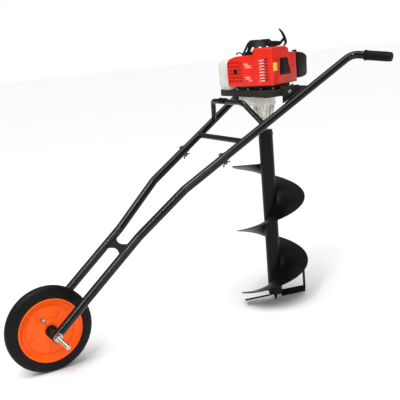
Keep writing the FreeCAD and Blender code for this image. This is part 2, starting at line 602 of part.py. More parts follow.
def cylinder():
    barrel = rod(V(0, -132, CYL_Z), Y, 31, 71.5)
    skirt = rod(V(0, -61, CYL_Z), Y, BORE_R + 3, 16)
    fins = [box(-50, 40, -128 + 8.5 * i, -124.5 + 8.5 * i, CYL_Z - 46, CYL_Z + 46)
            for i in range(8)]
    solid = union([barrel, skirt] + fins)
    return solid.cut(rod(V(0, -124, CYL_Z), Y, BORE_R, 90)).cut(rod(V(0, -140, CYL_Z), Y, 7, 20))


def piston():
    crown = rod(V(0, -88, CYL_Z), Y, BORE_R - 0.1, 34)
    return crown.cut(rod(V(0, -83, CYL_Z), Y, BORE_R - 4, 34))


def starter_dome():
    w = DOME_WALL
    base = COVER_Z1 + 0.5
    low = DOME_Z1 - 9
    outer = [(DOME_R0, base), (DOME_R0, base + 9), (DOME_R1 + 8, low), (DOME_R1, DOME_Z1),
             (0, DOME_Z1)]
    inner = [(0, DOME_Z1 - w - 1), (DOME_R1 - 2, DOME_Z1 - w - 1), (DOME_R1 + 8 - w, low - 2),
             (DOME_R0 - w, base + 8), (DOME_R0 - w, base)]
    shell = lathe(outer + inner)
    slot = box(DOME_R1 - 4, DOME_R0 + 2, -7, 7, base + 12, low - 5)
    top_slot = box(16, DOME_R1 - 8, -2.5, 2.5, DOME_Z1 - 6, DOME_Z1 + 1)
    shell = shell.cut(Part.makeCompound(around(slot, DOME_SLOTS) + around(top_slot, DOME_SLOTS)))
    spindle = rod(V(0, 0, ROPE_Z - 10), Z, 5, DOME_Z1 - ROPE_Z + 8)
    return shell.fuse(spindle)


ROPE_Y = -REEL_R - ROPE_R - SLIP


def dome_and_spout():
    """The rope leaves the reel on a tangent, through a guide on the operator's side."""
    spout = rod(V(DOME_R1 - 6, ROPE_Y, ROPE_Z), X, 9, GRIP_AT - GRIP_STEM - 2 - DOME_R1 + 6)
    eye = rod(V(0, ROPE_Y, ROPE_Z), X, ROPE_R + RUN, 120)
    inside = rod(V(0, 0, COVER_Z1), Z, DOME_R1 - 2, 50)
    return starter_dome().fuse(spout.cut(inside)).cut(eye)


def starter_grip():
    """A crescent T-grip on the rope's end, with the rope stub up to the reel."""
    middle = V(GRIP_AT, ROPE_Y, ROPE_Z)
    bow = [middle + V(-32, 0, 57), middle + V(-14, 0, 40), middle + V(-3, 0, 18),
           middle + V(0, 0, -6), middle + V(-2, 0, -18), middle + V(-10, 0, -30)]
    crescent = bar(bow, [BOW_R] * 4, 6.5)
    stem = lathe([(0, 0), (6.2, 0), (5, GRIP_STEM), (0, GRIP_STEM)], middle, V(-1, 0, 0))
    return crescent.fuse(stem)


def reel():
    profile = [(5 + RUN, -7), (REEL_R + 6, -7), (REEL_R + 6, -4.6), (REEL_R, -ROPE_R - 0.4),
               (REEL_R, ROPE_R + 0.4), (REEL_R + 6, 4.6), (REEL_R + 6, 7), (5 + RUN, 7)]
    return lathe(profile, V(0, 0, ROPE_Z))


CAP_SPOT = V(CAP_X, (COVER_Y1 + TANK_Y1) / 2, TANK_Z1)


def fuel_tank():
    tank = slab(TANK_X0, TANK_X1, COVER_Y1 + 1, TANK_Y1, TANK_Z0, TANK_Z1, 10)
    long_edges = [e for e in tank.Edges if e.Length > 100 and abs(e.BoundBox.ZLength) < 0.1
                  and e.BoundBox.YMin > TANK_Y1 - 1]
    tank = tank.makeFillet(TANK_R, long_edges)
    inner = box(TANK_X0 + 12, TANK_X1 - 12, COVER_Y1 + 3, TANK_Y1 - 16, TANK_Z0 + 5, TANK_Z1 - 5)
    neck = ring(CAP_SPOT - V(0, 0, 6), Z, 15, 12, 16)
    mouth = rod(CAP_SPOT - V(0, 0, 8), Z, 12, 12)
    return tank.cut(inner).cut(mouth).fuse(neck)


def cap():
    base = CAP_SPOT + V(0, 0, 1)
    body = rod(base, Z, 21, 17).cut(rod(base - Z, Z, 15 + SLIP, 14))
    notch = rod(base + X * 22.5, Z, 2.5, 17)
    return body.cut(Part.makeCompound(around(notch, 12, base)))


def filter_cover():
    shell = slab(FILTER_X0, FILTER_X1, FILTER_Y0, FILTER_Y1, FILTER_Z0, FILTER_Z1, 18)
    w = 3.0
    inner = box(FILTER_X0 - 1, FILTER_X1 - w - 4, FILTER_Y0 + w + 4, FILTER_Y1 - w - 4,
                FILTER_Z0 + w, FILTER_Z1 - w)
    return shell.cut(inner)


def engine_parts():
    nodes["engine_cover"] = posed(engine_cover())
    nodes["head_hatch"] = posed(prism(hatch_outline(1.5), V(0, 6, 0)))
    base = slab(-74, 66, -96, 70, CRADLE_TOP, COVER_Z0 - 1.5, 12)
    base = base.cut(rod(V(0, 0, CRADLE_TOP - 1), Z, 44, 30))
    nodes["clutch_housing"] = posed(base.cut(turned(bolt_pockets(), -ENGINE_TURN)))
    nodes["crankcase"] = posed(crankcase())
    nodes["cylinder"] = posed(cylinder())
    nodes["piston"] = posed(piston())
    plug = rod(V(0, -133, CYL_Z), Y, 7 - SEAT, 10).fuse(hexagon(V(0, -133.5, CYL_Z), Y, 16, 1.4))
    nodes["spark_plug"] = posed(plug)
    silencer = slab(-118, -62, -20, 70, 978, 1060, 8)
    outlet = rod(V(-126, OUTLET_Y, OUTLET_Z), X, 9, 12)
    pipe_bore = rod(V(-127, OUTLET_Y, OUTLET_Z), X, 6.5, 40)
    nodes["silencer"] = posed(silencer.fuse(outlet).cut(pipe_bore))
    nodes["fuel_tank"] = posed(fuel_tank())
    nodes["fuel_cap"] = posed(cap())
    carb = slab(CARB_X0, CARB_X1, CARB_Y - 24, CARB_Y + 24, CARB_Z1 - 50, CARB_Z1, 6)
    carb = carb.cut(rod(V(CARB_X0 - 1, CARB_Y, CYL_Z), X, 9, 60))
    spindle = V((CARB_X0 + CARB_X1) / 2, CARB_Y, CARB_Z1)
    bulb_at = spindle - V(0, 24 + SLIP, 40)
    carb = carb.cut(rod(bulb_at, Y, 8 + SLIP, PRIMER_TRAVEL + 2 * SLIP))
    nodes["carburettor"] = posed(carb.cut(rod(spindle - Z * 3, Z, 3 + RUN, 30)))
    nodes["primer_bulb"] = posed(rod(bulb_at, V(0, -1, 0), 8, 9))
    lever = rod(spindle + Z * SLIP, Z, 8, 3)
    lever = lever.fuse(box(spindle.x - 4, spindle.x + 4, CARB_Y, CARB_Y + 30,
                           CARB_Z1 + SLIP, CARB_Z1 + SLIP + 3))
    nodes["throttle_lever"] = posed(lever.fuse(rod(spindle - Z * 2, Z, 3, 3)))
    nodes["filter_cover"] = posed(filter_cover())
    foam = box(FILTER_X0 + 22, FILTER_X1 - 12, FILTER_Y0 + 12, FILTER_Y1 - 12,
               FILTER_Z0 + 8, FILTER_Z1 - 8)
    nodes["filter_element"] = posed(foam.cut(rod(V(FILTER_X0, CARB_Y, CYL_Z), X, 14, 60)))
    nodes["starter_housing"] = over(dome_and_spout())
    stub = rod(V(5, ROPE_Y, ROPE_Z), X, ROPE_R, GRIP_AT - GRIP_STEM - 5)
    nodes["starter_grip"] = over(Part.makeCompound([starter_grip(), stub]))
    nodes["starter_reel"] = over(reel())
    face = FILTER_X1 + SLIP
    choke = rod(V(face, CARB_Y, CHOKE_Z), X, 9, 4)
    nodes["choke_lever"] = posed(choke.fuse(box(face, face + 4, CARB_Y - 5, CARB_Y + 5,
                                                CHOKE_Z - 24, CHOKE_Z)))
    nodes["stop_switch"] = posed(slab(12, 26, -96, -84, COVER_Z1 + SLIP, COVER_Z1 + 6, 2))


def bolt_pockets():
    return Part.makeCompound([rod(spot + Z * CRADLE_TOP, Z, 7, 30) for spot in bolt_spots()])


def crank_parts():
    shaft = rod(V(0, 0, CRADLE_TOP + 6), Z, CRANK_R, 1050 - CRADLE_TOP)
    weight = rod(V(0, 0, 998), Z, 30, 14).cut(box(-40, 40, 6, 40, 990, 1020))
    nodes["crankshaft"] = posed(shaft.fuse(weight))
    rotor = ring(V(0, 0, 1050), Z, 44, CRANK_R + SEAT, 5)
    blade = box(18, 44, -1.5, 1.5, 1055, 1070)
    nodes["flywheel_fan"] = posed(union([rotor] + around(blade, 10)))
    shoe = ring(V(0, 0, CRADLE_TOP + 6), Z, 34, 12, 8)
    gap = box(-40, 40, -3, 3, CRADLE_TOP, CRADLE_TOP + 30)
    boss = ring(V(0, 0, CRADLE_TOP + 14), Z, 16, CRANK_R + SEAT, 4)
    nodes["clutch_shoes"] = posed(Part.makeCompound(shoe.cut(gap).Solids + [boss]))


# ---------------------------------------------------------------- auger
def helix_edge(radius, start, end):
    """One stretch of a right-handed helix, from one angle to another in degrees."""
    steps = 13
    curve = Part.BSplineCurve()
    points = []
    for i in range(steps):
        angle = start + (end - start) * i / (steps - 1)
        points.append(V(radius * math.cos(math.radians(angle)),
                        radius * math.sin(math.radians(angle)), PITCH * angle / 360))
    curve.interpolate(points)
    return curve.toShape()


def flight():
    """A right-handed helicoid standing on the auger tube, made in half turns."""
    solids = []
    for i in range(int(round(2 * FLIGHT_TURNS))):
        inner = helix_edge(AUGER_TUBE_R, 180 * i, 180 * i + 180)
        outer = helix_edge(FLIGHT_R, 180 * i, 180 * i + 180)
        solids.append(Part.makeRuledSurface(inner, outer, 1).extrude(V(0, 0, FLIGHT_T)))
    solid = union(solids)
    solid.rotate(V(0, 0, 0), Z, FLIGHT_ANGLE)
    return solid.translated(V(0, 0, FLIGHT_TOP - PITCH * FLIGHT_TURNS - FLIGHT_T))


def blade():
    """A flat cutter from the tube to the flight's edge, its leading corner cut back."""
    reach, inner = FLIGHT_R + 2, AUGER_TUBE_R - 6
    points = [V(inner, -BLADE_W / 2, 0), V(reach - 14, -BLADE_W / 2, 0), V(reach, BLADE_W / 2, 0),
              V(inner, BLADE_W / 2, 0)]
    plate = prism(points, V(0, 0, BLADE_T))
    plate.rotate(V(0, 0, 0), X, 26)
    return plate.translated(V(0, 0, BLADE_Z))


def auger_parts():
    tube = ring(V(0, 0, AUGER_BASE), Z, AUGER_TUBE_R, AUGER_TUBE_R - AUGER_TUBE_WALL,
                AUGER_TOP - AUGER_BASE)
    pin_hole = rod(V(-50, 0, PIN_Z), X, PIN_R + SEAT, 100)
    collar = ring(V(0, 0, PIN_Z - 34), Z, AUGER_TUBE_R - AUGER_TUBE_WALL / 2, SHAFT_R + SEAT,
                  AUGER_TOP - PIN_Z + 34)
    nodes["auger_tube"] = over(tube.fuse(collar).cut(pin_hole))
    pin = rod(V(-AUGER_TUBE_R - 6, 0, PIN_Z), X, PIN_R, 2 * AUGER_TUBE_R + 12)
    nodes["drive_pin"] = over(pin.fuse(rod(V(AUGER_TUBE_R + SEAT, 0, PIN_Z), X, 7, 6)))
    nodes["auger_flight"] = over(flight())
    first = turned(blade(), BLADE_ANGLE)
    second = turned(blade(), BLADE_ANGLE + 180)
    core = rod(V(0, 0, 0), Z, AUGER_TUBE_R - 5, 80).fuse(rod(Z * AUGER_BASE, Z, AUGER_TUBE_R, 80))
    nodes["cutting_blades"] = over(Part.makeCompound([first.cut(core), second.cut(core)]))
    tip = lathe([(0, 0), (4, 5), (9, AUGER_BASE - 4), (AUGER_TUBE_R - 5, AUGER_BASE - 2),
                 (AUGER_TUBE_R - 5, AUGER_BASE + 12), (0, AUGER_BASE + 12)])
    nodes["pilot_point"] = over(tip)
    above = FLIGHT_TOP - PITCH * (1.5 + (FLIGHT_ANGLE - BLADE_ANGLE) / 360) - FLIGHT_T
    strut = box(FLIGHT_R - 12, FLIGHT_R - 4, -4, 4, BLADE_Z + 4, above - 2)
    standing = turned(strut, BLADE_ANGLE + 180).cut(second)
    nodes["flight_strut"] = over(max(standing.Solids, key=lambda s: s.Volume))


# ---------------------------------------------------------------- build
frame_parts()
wheel_parts()
gearbox_parts()
gear_parts()
engine_parts()
crank_parts()
auger_parts()

os.makedirs("parts", exist_ok=True)
for name, shape in nodes.items():
    moved = shape.translated(SHIFT)
    if len(moved.Solids) == 1:
        moved = moved.Solids[0]
    moved.exportStep("parts/" + name + ".step")
    print(name, len(moved.Solids), moved.isValid(), round(moved.Volume))
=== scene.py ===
"""Looks of the single-wheel petrol auger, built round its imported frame. Metres, in the row frame."""
import math

import bmesh
import bpy
from mathutils import Matrix, Vector


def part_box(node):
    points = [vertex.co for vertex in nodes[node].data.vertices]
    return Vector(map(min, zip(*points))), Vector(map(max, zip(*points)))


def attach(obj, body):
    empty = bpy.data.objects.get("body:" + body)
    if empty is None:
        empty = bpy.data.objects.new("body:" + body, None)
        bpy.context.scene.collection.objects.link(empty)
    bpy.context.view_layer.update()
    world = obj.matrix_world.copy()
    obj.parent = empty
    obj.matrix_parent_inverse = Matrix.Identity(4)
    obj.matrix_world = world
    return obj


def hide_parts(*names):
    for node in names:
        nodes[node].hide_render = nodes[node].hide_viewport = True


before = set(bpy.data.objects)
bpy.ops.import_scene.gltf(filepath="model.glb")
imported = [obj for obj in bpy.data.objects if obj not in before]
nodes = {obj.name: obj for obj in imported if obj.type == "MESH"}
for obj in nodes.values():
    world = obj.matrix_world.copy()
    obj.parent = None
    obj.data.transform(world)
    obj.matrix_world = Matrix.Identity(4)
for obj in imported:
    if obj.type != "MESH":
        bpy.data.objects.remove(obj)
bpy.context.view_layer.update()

# ---------------------------------------------------------------- places read from the frame
MM = 0.001
X, Y, Z = Vector((1, 0, 0)), Vector((0, 1, 0)), Vector((0, 0, 1))


def middle_of(node):
    low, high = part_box(node)
    return (low + high) / 2


def end_of(node, direction, depth=0.2 * MM):
    """The middle of a node's furthest vertices along a direction."""
    spots = [v.co for v in nodes[node].data.vertices]
    far = max(p.dot(direction) for p in spots)
    ring = [p for p in spots if p.dot(direction) > far - depth]
    return sum(ring, Vector()) / len(ring)


WHEEL = middle_of("tyre")
TYRE_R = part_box("tyre")[1].z - WHEEL.z
TYRE_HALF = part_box("tyre")[1].y
AUGER = middle_of("auger_tube")
AUGER.z = 0
ENGINE_TURN = math.radians(20)
ENGINE = Matrix.Translation(AUGER) @ Matrix.Rotation(ENGINE_TURN, 4, "Z")

# The frame's two runs, in mm and radians: the lower one rises to bend 2, the upper one to bend 3.
UPPER_R = 15.4 * MM
LOWER_RUN, UPPER_RUN = 707.2, 862.8
RISE_AB, RISE_C = math.radians(39), math.radians(30.3)
BEND_2_OUT, BEND_3_OUT = 130, 250.5
HANDLE_SPLAY, HANDLE_LENGTH, HANDLE_DROP = math.radians(70), 165, 18.5
HANDLE = Vector((math.cos(HANDLE_SPLAY) * HANDLE_LENGTH, math.sin(HANDLE_SPLAY) * HANDLE_LENGTH,
                 -HANDLE_DROP))


# ---------------------------------------------------------------- materials
class Nodes:
    """A short way to wire a material's nodes."""

    def __init__(self, name):
        self.material = bpy.data.materials.new(name)
        self.material.use_nodes = True
        self.tree = self.material.node_tree
        self.shader = self.tree.nodes["Principled BSDF"]
        self.place = self.add("ShaderNodeTexCoord").outputs["Object"]

    def add(self, kind, **values):
        node = self.tree.nodes.new(kind)
        for key, value in values.items():
            setattr(node, key, value)
        return node

    def link(self, start, end):
        self.tree.links.new(start, end)

    def noise(self, scale, detail=3.0, stretch=None, roughness=0.5):
        node = self.add("ShaderNodeTexNoise")
        node.inputs["Scale"].default_value = scale
        node.inputs["Detail"].default_value = detail
        node.inputs["Roughness"].default_value = roughness
        place = self.place
        if stretch:
            mapping = self.add("ShaderNodeMapping")
            mapping.inputs["Scale"].default_value = stretch
            self.link(place, mapping.inputs["Vector"])
            place = mapping.outputs["Vector"]
        self.link(place, node.inputs["Vector"])
        return node.outputs["Fac"]

    def ramp(self, value, stops):
        node = self.add("ShaderNodeValToRGB")
        while len(node.color_ramp.elements) < len(stops):
            node.color_ramp.elements.new(0.5)
        for element, (at, colour) in zip(node.color_ramp.elements, stops):
            element.position = at
            element.color = (*colour, 1)
        self.link(value, node.inputs["Fac"])
        return node.outputs["Color"]

    def spread(self, value, low, high, start=0.3, end=0.7):
        node = self.add("ShaderNodeMapRange")
        for key, number in (("From Min", start), ("From Max", end), ("To Min", low), ("To Max", high)):
            node.inputs[key].default_value = number
        self.link(value, node.inputs["Value"])
        return node.outputs["Result"]

    def bump(self, height, strength, distance, under=None):
        node = self.add("ShaderNodeBump")
        node.inputs["Strength"].default_value = strength
        node.inputs["Distance"].default_value = distance
        self.link(height, node.inputs["Height"])
        if under:
            self.link(under, node.inputs["Normal"])
        return node.outputs["Normal"]

    def set(self, **values):
        for key, value in values.items():
            self.shader.inputs[key.replace("_", " ")].default_value = value


def finish_of(name, dark, light, rough, scale=35, grain=700, bump=0.15, depth=0.1 * MM, **values):
    """Colour drifts between two shades, gloss drifts between two values, and a fine grain lifts."""
    made = Nodes(name)
    drift = made.noise(scale, 4)
    made.link(made.ramp(drift, [(0.3, dark), (0.7, light)]), made.shader.inputs["Base Color"])
    made.link(made.spread(made.noise(scale * 3, 3), *rough), made.shader.inputs["Roughness"])
    made.link(made.bump(made.noise(grain, 2), bump, depth), made.shader.inputs["Normal"])
    made.set(**values)
    return made.material


def worn_paint(name, dark, light, bare, rough, edge=(0.53, 0.6), **values):
    """Paint that has rubbed through a little along sharp edges, under a coarse break-up noise."""
    made = Nodes(name)
    drift = made.ramp(made.noise(18, 5), [(0.3, dark), (0.7, light)])
    edges = made.spread(made.add("ShaderNodeNewGeometry").outputs["Pointiness"], 0, 1, *edge)
    broken = made.add("ShaderNodeMath", operation="MULTIPLY")
    made.link(edges, broken.inputs[0])
    made.link(made.spread(made.noise(140, 5), 0, 1, 0.52, 0.66), broken.inputs[1])
    mix = made.add("ShaderNodeMix", data_type="RGBA")
    made.link(broken.outputs["Value"], mix.inputs["Factor"])
    made.link(drift, mix.inputs["A"])
    mix.inputs["B"].default_value = (*bare, 1)
    made.link(mix.outputs["Result"], made.shader.inputs["Base Color"])
    made.link(made.spread(made.noise(60, 3), *rough), made.shader.inputs["Roughness"])
    made.link(made.bump(made.noise(900, 2), 0.08, 0.1 * MM), made.shader.inputs["Normal"])
    made.set(**values)
    return made.material


def brushed(name, dark, light, rough, stretch):
    """Bare metal with fine lines drawn out along one axis."""
    made = Nodes(name)
    lines = made.noise(60, 4, stretch)
    made.link(made.ramp(lines, [(0.3, dark), (0.7, light)]), made.shader.inputs["Base Color"])
    made.link(made.spread(lines, *rough), made.shader.inputs["Roughness"])
    made.link(made.bump(lines, 0.1, 0.05 * MM), made.shader.inputs["Normal"])
    made.set(Metallic=1.0)
    return made.material


def foam():
    """Open-celled black foam."""
    made = Nodes("foam")
    cells = made.add("ShaderNodeTexVoronoi")
    cells.inputs["Scale"].default_value = 900
    made.link(made.place, cells.inputs["Vector"])
    colour = made.ramp(cells.outputs["Distance"], [(0.1, (0.01, 0.01, 0.01)), (0.6, (0.07, 0.07, 0.07))])
    made.link(colour, made.shader.inputs["Base Color"])
    made.link(made.bump(cells.outputs["Distance"], 0.8, 0.5 * MM), made.shader.inputs["Normal"])
    made.set(Roughness=0.95)
    return made.material


def milky_plastic():
    """Cloudy blow-moulded plastic that lets a little light in."""
    made = Nodes("milky_plastic")
    cloud = made.noise(25, 4)
    shades = [(0.3, (0.60, 0.59, 0.55)), (0.7, (0.70, 0.69, 0.65))]
    made.link(made.ramp(cloud, shades), made.shader.inputs["Base Color"])
    made.link(made.spread(cloud, 0.25, 0.4), made.shader.inputs["Roughness"])
    made.link(made.bump(made.noise(300, 2), 0.1, 0.1 * MM), made.shader.inputs["Normal"])
    made.set(Subsurface_Weight=0.3, Subsurface_Scale=0.01, Transmission_Weight=0.08)
    return made.material


BLACK = ((0.0020, 0.0020, 0.0022), (0.0036, 0.0036, 0.0040))
frame_paint = finish_of("frame_paint", *BLACK, (0.05, 0.08), 25, 900, 0.02, Specular_IOR_Level=0.28)
cradle_paint = worn_paint("cradle_paint", (0.012, 0.0105, 0.007), (0.020, 0.018, 0.013),
                          (0.04, 0.036, 0.03), (0.4, 0.55), Specular_IOR_Level=0.2)
auger_paint = finish_of("auger_paint", (0.0022, 0.0020, 0.0021), (0.0045, 0.0042, 0.0042),
                        (0.3, 0.42), 30, 700, 0.1, Specular_IOR_Level=0.14)
tyre_rubber = finish_of("tyre_rubber", (0.0026, 0.0023, 0.0023), (0.0048, 0.0044, 0.0042),
                        (0.4, 0.55), 20, 600, 0.2, Specular_IOR_Level=0.14)
grip_rubber = finish_of("grip_rubber", (0.0016, 0.0016, 0.0016), (0.0034, 0.0034, 0.0034),
                        (0.45, 0.6), 40, 1200, 0.3, Specular_IOR_Level=0.12)
rim_paint = finish_of("rim_paint", (0.86, 0.088, 0.002), (0.96, 0.115, 0.004), (0.28, 0.4), 14, 500,
                      0.05, Specular_IOR_Level=0.2)
red_plastic = finish_of("red_plastic", (0.62, 0.012, 0.003), (0.72, 0.018, 0.005), (0.16, 0.26), 18,
                        1400, 0.06, Specular_IOR_Level=0.35)
# A dark red for sheets behind the vents and louvres: painted shade inside the openings.
red_painted_shade = finish_of("red_painted_shade", (0.16, 0.006, 0.003), (0.26, 0.010, 0.005), (0.4, 0.6), 60)
black_plastic = finish_of("black_plastic", (0.0026, 0.0028, 0.0024), (0.0050, 0.0054, 0.0045),
                          (0.3, 0.45), 40, 1500, 0.2, Specular_IOR_Level=0.16)
cast_alloy = finish_of("cast_alloy", (0.58, 0.56, 0.52), (0.78, 0.76, 0.71), (0.35, 0.55), 60, 900,
                       0.5, 0.25 * MM, Metallic=0.8)
dark_alloy = finish_of("dark_alloy", (0.03, 0.03, 0.029), (0.07, 0.07, 0.068), (0.5, 0.65), 60,
                       900, 0.5, 0.25 * MM, Metallic=0.6)
zinc_plate = finish_of("zinc_plate", (0.36, 0.33, 0.28), (0.56, 0.52, 0.45), (0.16, 0.28), 90, 900,
                       0.1, Metallic=1.0)
dark_plate = finish_of("dark_plate", (0.05, 0.048, 0.045), (0.12, 0.115, 0.11), (0.2, 0.35), 90, 900,
                       0.1, Metallic=0.9)
ground_steel = brushed("ground_steel", (0.30, 0.30, 0.30), (0.5, 0.5, 0.5), (0.25, 0.45), (1, 1, 14))
bronze = finish_of("bronze", (0.55, 0.33, 0.13), (0.70, 0.45, 0.20), (0.3, 0.5), 80, Metallic=1.0)
yellow_vinyl = finish_of("yellow_vinyl", (0.80, 0.50, 0.04), (0.88, 0.58, 0.07), (0.3, 0.4), 60)
pale_print = finish_of("pale_print", (0.62, 0.34, 0.26), (0.78, 0.52, 0.42), (0.3, 0.45), 80)
# A pale colour for the louvre strips: painted highlight, not a metal.
slat_painted_highlight = finish_of("slat_painted_highlight", (0.80, 0.70, 0.62), (0.92, 0.84, 0.76), (0.3, 0.5), 120)
soot_steel = finish_of("soot_steel", (0.010, 0.009, 0.008), (0.03, 0.028, 0.026), (0.5, 0.8), 60,
                       500, 0.4, Metallic=0.4)
foam_black = foam()
tank_plastic = milky_plastic()

CAD_FINISH = {
    frame_paint: "right_frame_tube left_frame_tube right_handlebar left_handlebar fork_bridge "
                 "cross_tube rest_yoke",
    cradle_paint: "cradle pivot_brackets axle_spacers",
    auger_paint: "auger_tube auger_flight flight_strut pilot_point cutting_blades",
    grip_rubber: "grips yoke_pad shaft_seal primer_bulb",
    tyre_rubber: "tyre",
    rim_paint: "right_rim_half left_rim_half rim_bolts",
    dark_plate: "wing_screws",
    zinc_plate: "pivot_bolts axle_bolt case_bolts drive_pin spark_plug valve_stem",
    ground_steel: "wheel_bearings output_bearings lay_gears clutch_drum clutch_shoes "
                  "output_shaft crankshaft",
    soot_steel: "silencer",
    cast_alloy: "gearbox_case gearbox_lid crankcase cylinder piston flywheel_fan carburettor",
    dark_alloy: "clutch_housing",
    bronze: "pivot_bushes",
    red_plastic: "engine_cover",
    black_plastic: "hub head_hatch filter_cover starter_housing starter_grip starter_reel "
                   "fuel_cap stop_switch throttle_lever choke_lever",
    tank_plastic: "fuel_tank",
    foam_black: "filter_element",
}
for finish, names in CAD_FINISH.items():
    for name in names.split():
        nodes[name].data.materials.clear()
        nodes[name].data.materials.append(finish)


# ---------------------------------------------------------------- mesh helpers
def piece(name, shape, body, finish, replaces=(), sharp=35):
    """Turns a bmesh into a smooth-shaded piece that rides on a CAD body."""
    bmesh.ops.recalc_face_normals(shape, faces=shape.faces)
    mesh = bpy.data.meshes.new(name)
    shape.to_mesh(mesh)
    shape.free()
    mesh.polygons.foreach_set("use_smooth", [True] * len(mesh.polygons))
    mesh.set_sharp_from_angle(angle=math.radians(sharp))
    mesh.materials.append(finish)
    made = bpy.data.objects.new(name, mesh)
    bpy.context.scene.collection.objects.link(made)
    if body:
        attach(made, body)
    if replaces:
        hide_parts(*replaces)
    return made


def rounded_box(low, high, radius, segments=4):
    """A block with all its edges rounded."""
    shape = bmesh.new()
    bmesh.ops.create_cube(shape, size=1)
    low, high = Vector(low), Vector(high)
    size = high - low
    for v in shape.verts:
        v.co = (low + high) / 2 + Vector((v.co.x * size.x, v.co.y * size.y, v.co.z * size.z))
    if radius:
        bmesh.ops.bevel(shape, geom=shape.edges[:], offset=radius, segments=segments, profile=0.5,
                        affect="EDGES", clamp_overlap=True)
    return shape


def push(points, direction):
    """A flat outline of points pushed along a direction, as a closed block."""
    shape = bmesh.new()
    near = [shape.verts.new(p) for p in points]
    far = [shape.verts.new(Vector(p) + Vector(direction)) for p in points]
    shape.faces.new(near)
    shape.faces.new(far[::-1])
    for i in range(len(points)):
        j = (i + 1) % len(points)
        shape.faces.new((near[i], far[i], far[j], near[j]))
    bmesh.ops.recalc_face_normals(shape, faces=shape.faces)
    return shape


def round_off(shape, radius, segments=3):
    """All of a shape's edges rounded."""
    bmesh.ops.bevel(shape, geom=shape.edges[:], offset=radius, segments=segments, profile=0.5,
                    affect="EDGES", clamp_overlap=True)
    return shape


def moved(shape, matrix):
    bmesh.ops.transform(shape, matrix=matrix, verts=shape.verts)
    return shape


def joined(shapes):
    """Several bmeshes in one."""
    whole = bmesh.new()
    for shape in shapes:
        mesh = bpy.data.meshes.new("part")
        shape.to_mesh(mesh)
        shape.free()
        whole.from_mesh(mesh)
        bpy.data.meshes.remove(mesh)
    return whole


def facing(axis, at=(0, 0, 0)):
    """The matrix that stands Z along an axis at a place."""
    return Matrix.Translation(Vector(at)) @ Z.rotation_difference(Vector(axis)).to_matrix().to_4x4()


def spun(profile, count=96):
    """A closed profile of (radius, height) points turned about Z; radius may be a function of angle."""
    shape = bmesh.new()
    rings = []
    for i in range(count):
        angle = 2 * math.pi * i / count
        rings.append([shape.verts.new((r * math.cos(angle), r * math.sin(angle), h))
                      for r, h in profile])
    for i in range(count):
        a, b = rings[i], rings[(i + 1) % count]
        for k in range(len(profile)):
            m = (k + 1) % len(profile)
            shape.faces.new((a[k], b[k], b[m], a[m]))
    bmesh.ops.remove_doubles(shape, verts=shape.verts, dist=0.001 * MM)
    return shape


def turned(profile, count=48):
    """A solid of revolution about Z from an open (radius, height) outline that ends on the axis."""
    shape = bmesh.new()
    rings = []
    for r, h in profile:
        if r < 0.01 * MM:
            rings.append([shape.verts.new((0, 0, h))])
        else:
            rings.append([shape.verts.new((r * math.cos(2 * math.pi * i / count),
                                           r * math.sin(2 * math.pi * i / count), h))
                          for i in range(count)])
    for a, b in zip(rings, rings[1:]):
        for i in range(count):
            j = (i + 1) % count
            if len(a) == 1:
                shape.faces.new((a[0], b[i], b[j]))
            elif len(b) == 1:
                shape.faces.new((a[i], b[0], a[j]))
            else:
                shape.faces.new((a[i], b[i], b[j], a[j]))
    for ring in (rings[0], rings[-1]):
        if len(ring) > 1:
            shape.faces.new(ring)
    return shape


def curve_through(points, steps=8):
    """Points along a smooth curve through the given ones."""
    p = [2 * points[0] - points[1]] + points + [2 * points[-1] - points[-2]]
    made = []
    for i in range(1, len(p) - 2):
        for k in range(steps):
            t = k / steps
            made.append(0.5 * (2 * p[i] + (p[i + 1] - p[i - 1]) * t
                               + (2 * p[i - 1] - 5 * p[i] + 4 * p[i + 1] - p[i + 2]) * t ** 2
                               + (3 * p[i] - p[i - 1] - 3 * p[i + 1] + p[i + 2]) * t ** 3))
    return made + [points[-1]]


def sweep(path, radii, count=20, closed=False, squeeze=1.0):
    """A round bar along a path with its own radius at each point."""
    shape = bmesh.new()
    total = len(path)
    rings, side = [], None
    for i, p in enumerate(path):
        after = path[(i + 1) % total] if closed or i + 1 < total else path[i]
        before = path[i - 1] if closed or i > 0 else path[i]
        along = (after - before).normalized()
        if side is None:
            side = along.orthogonal().normalized()
        side = (side - along * side.dot(along)).normalized()
        other = along.cross(side)
        r = radii[i] if isinstance(radii, list) else radii
        rings.append([shape.verts.new(p + side * (r * math.cos(2 * math.pi * k / count))
                                      + other * (r * squeeze * math.sin(2 * math.pi * k / count)))
                      for k in range(count)])
    last = total if closed else total - 1
    for i in range(last):
        a, b = rings[i], rings[(i + 1) % total]
        for k in range(count):
            m = (k + 1) % count
            shape.faces.new((a[k], a[m], b[m], b[k]))
    if not closed:
        shape.faces.new(rings[0][::-1])
        shape.faces.new(rings[-1])
    return shape


def boolean(operation, base, other, self_crossing=False):
    """The result of a boolean between two bmeshes, as a bmesh."""
    objects = []
    for name, shape in (("base", base), ("other", other)):
        bmesh.ops.recalc_face_normals(shape, faces=shape.faces)
        mesh = bpy.data.meshes.new(name)
        shape.to_mesh(mesh)
        shape.free()
        made = bpy.data.objects.new(name, mesh)
        bpy.context.scene.collection.objects.link(made)
        objects.append(made)
    tool = objects[0].modifiers.new("boolean", "BOOLEAN")
    tool.operation, tool.solver, tool.object = operation, "EXACT", objects[1]
    tool.use_self = self_crossing
    bpy.context.view_layer.update()
    graph = bpy.context.evaluated_depsgraph_get()
    result = bpy.data.meshes.new_from_object(objects[0].evaluated_get(graph))
    shape = bmesh.new()
    shape.from_mesh(result)
    for made in objects:
        bpy.data.objects.remove(made)
    bpy.data.meshes.remove(result)
    return shape


def carved(base, cutter):
    """base with cutter taken away; the cutter's parts may cross each other."""
    return boolean("DIFFERENCE", base, cutter, self_crossing=True)


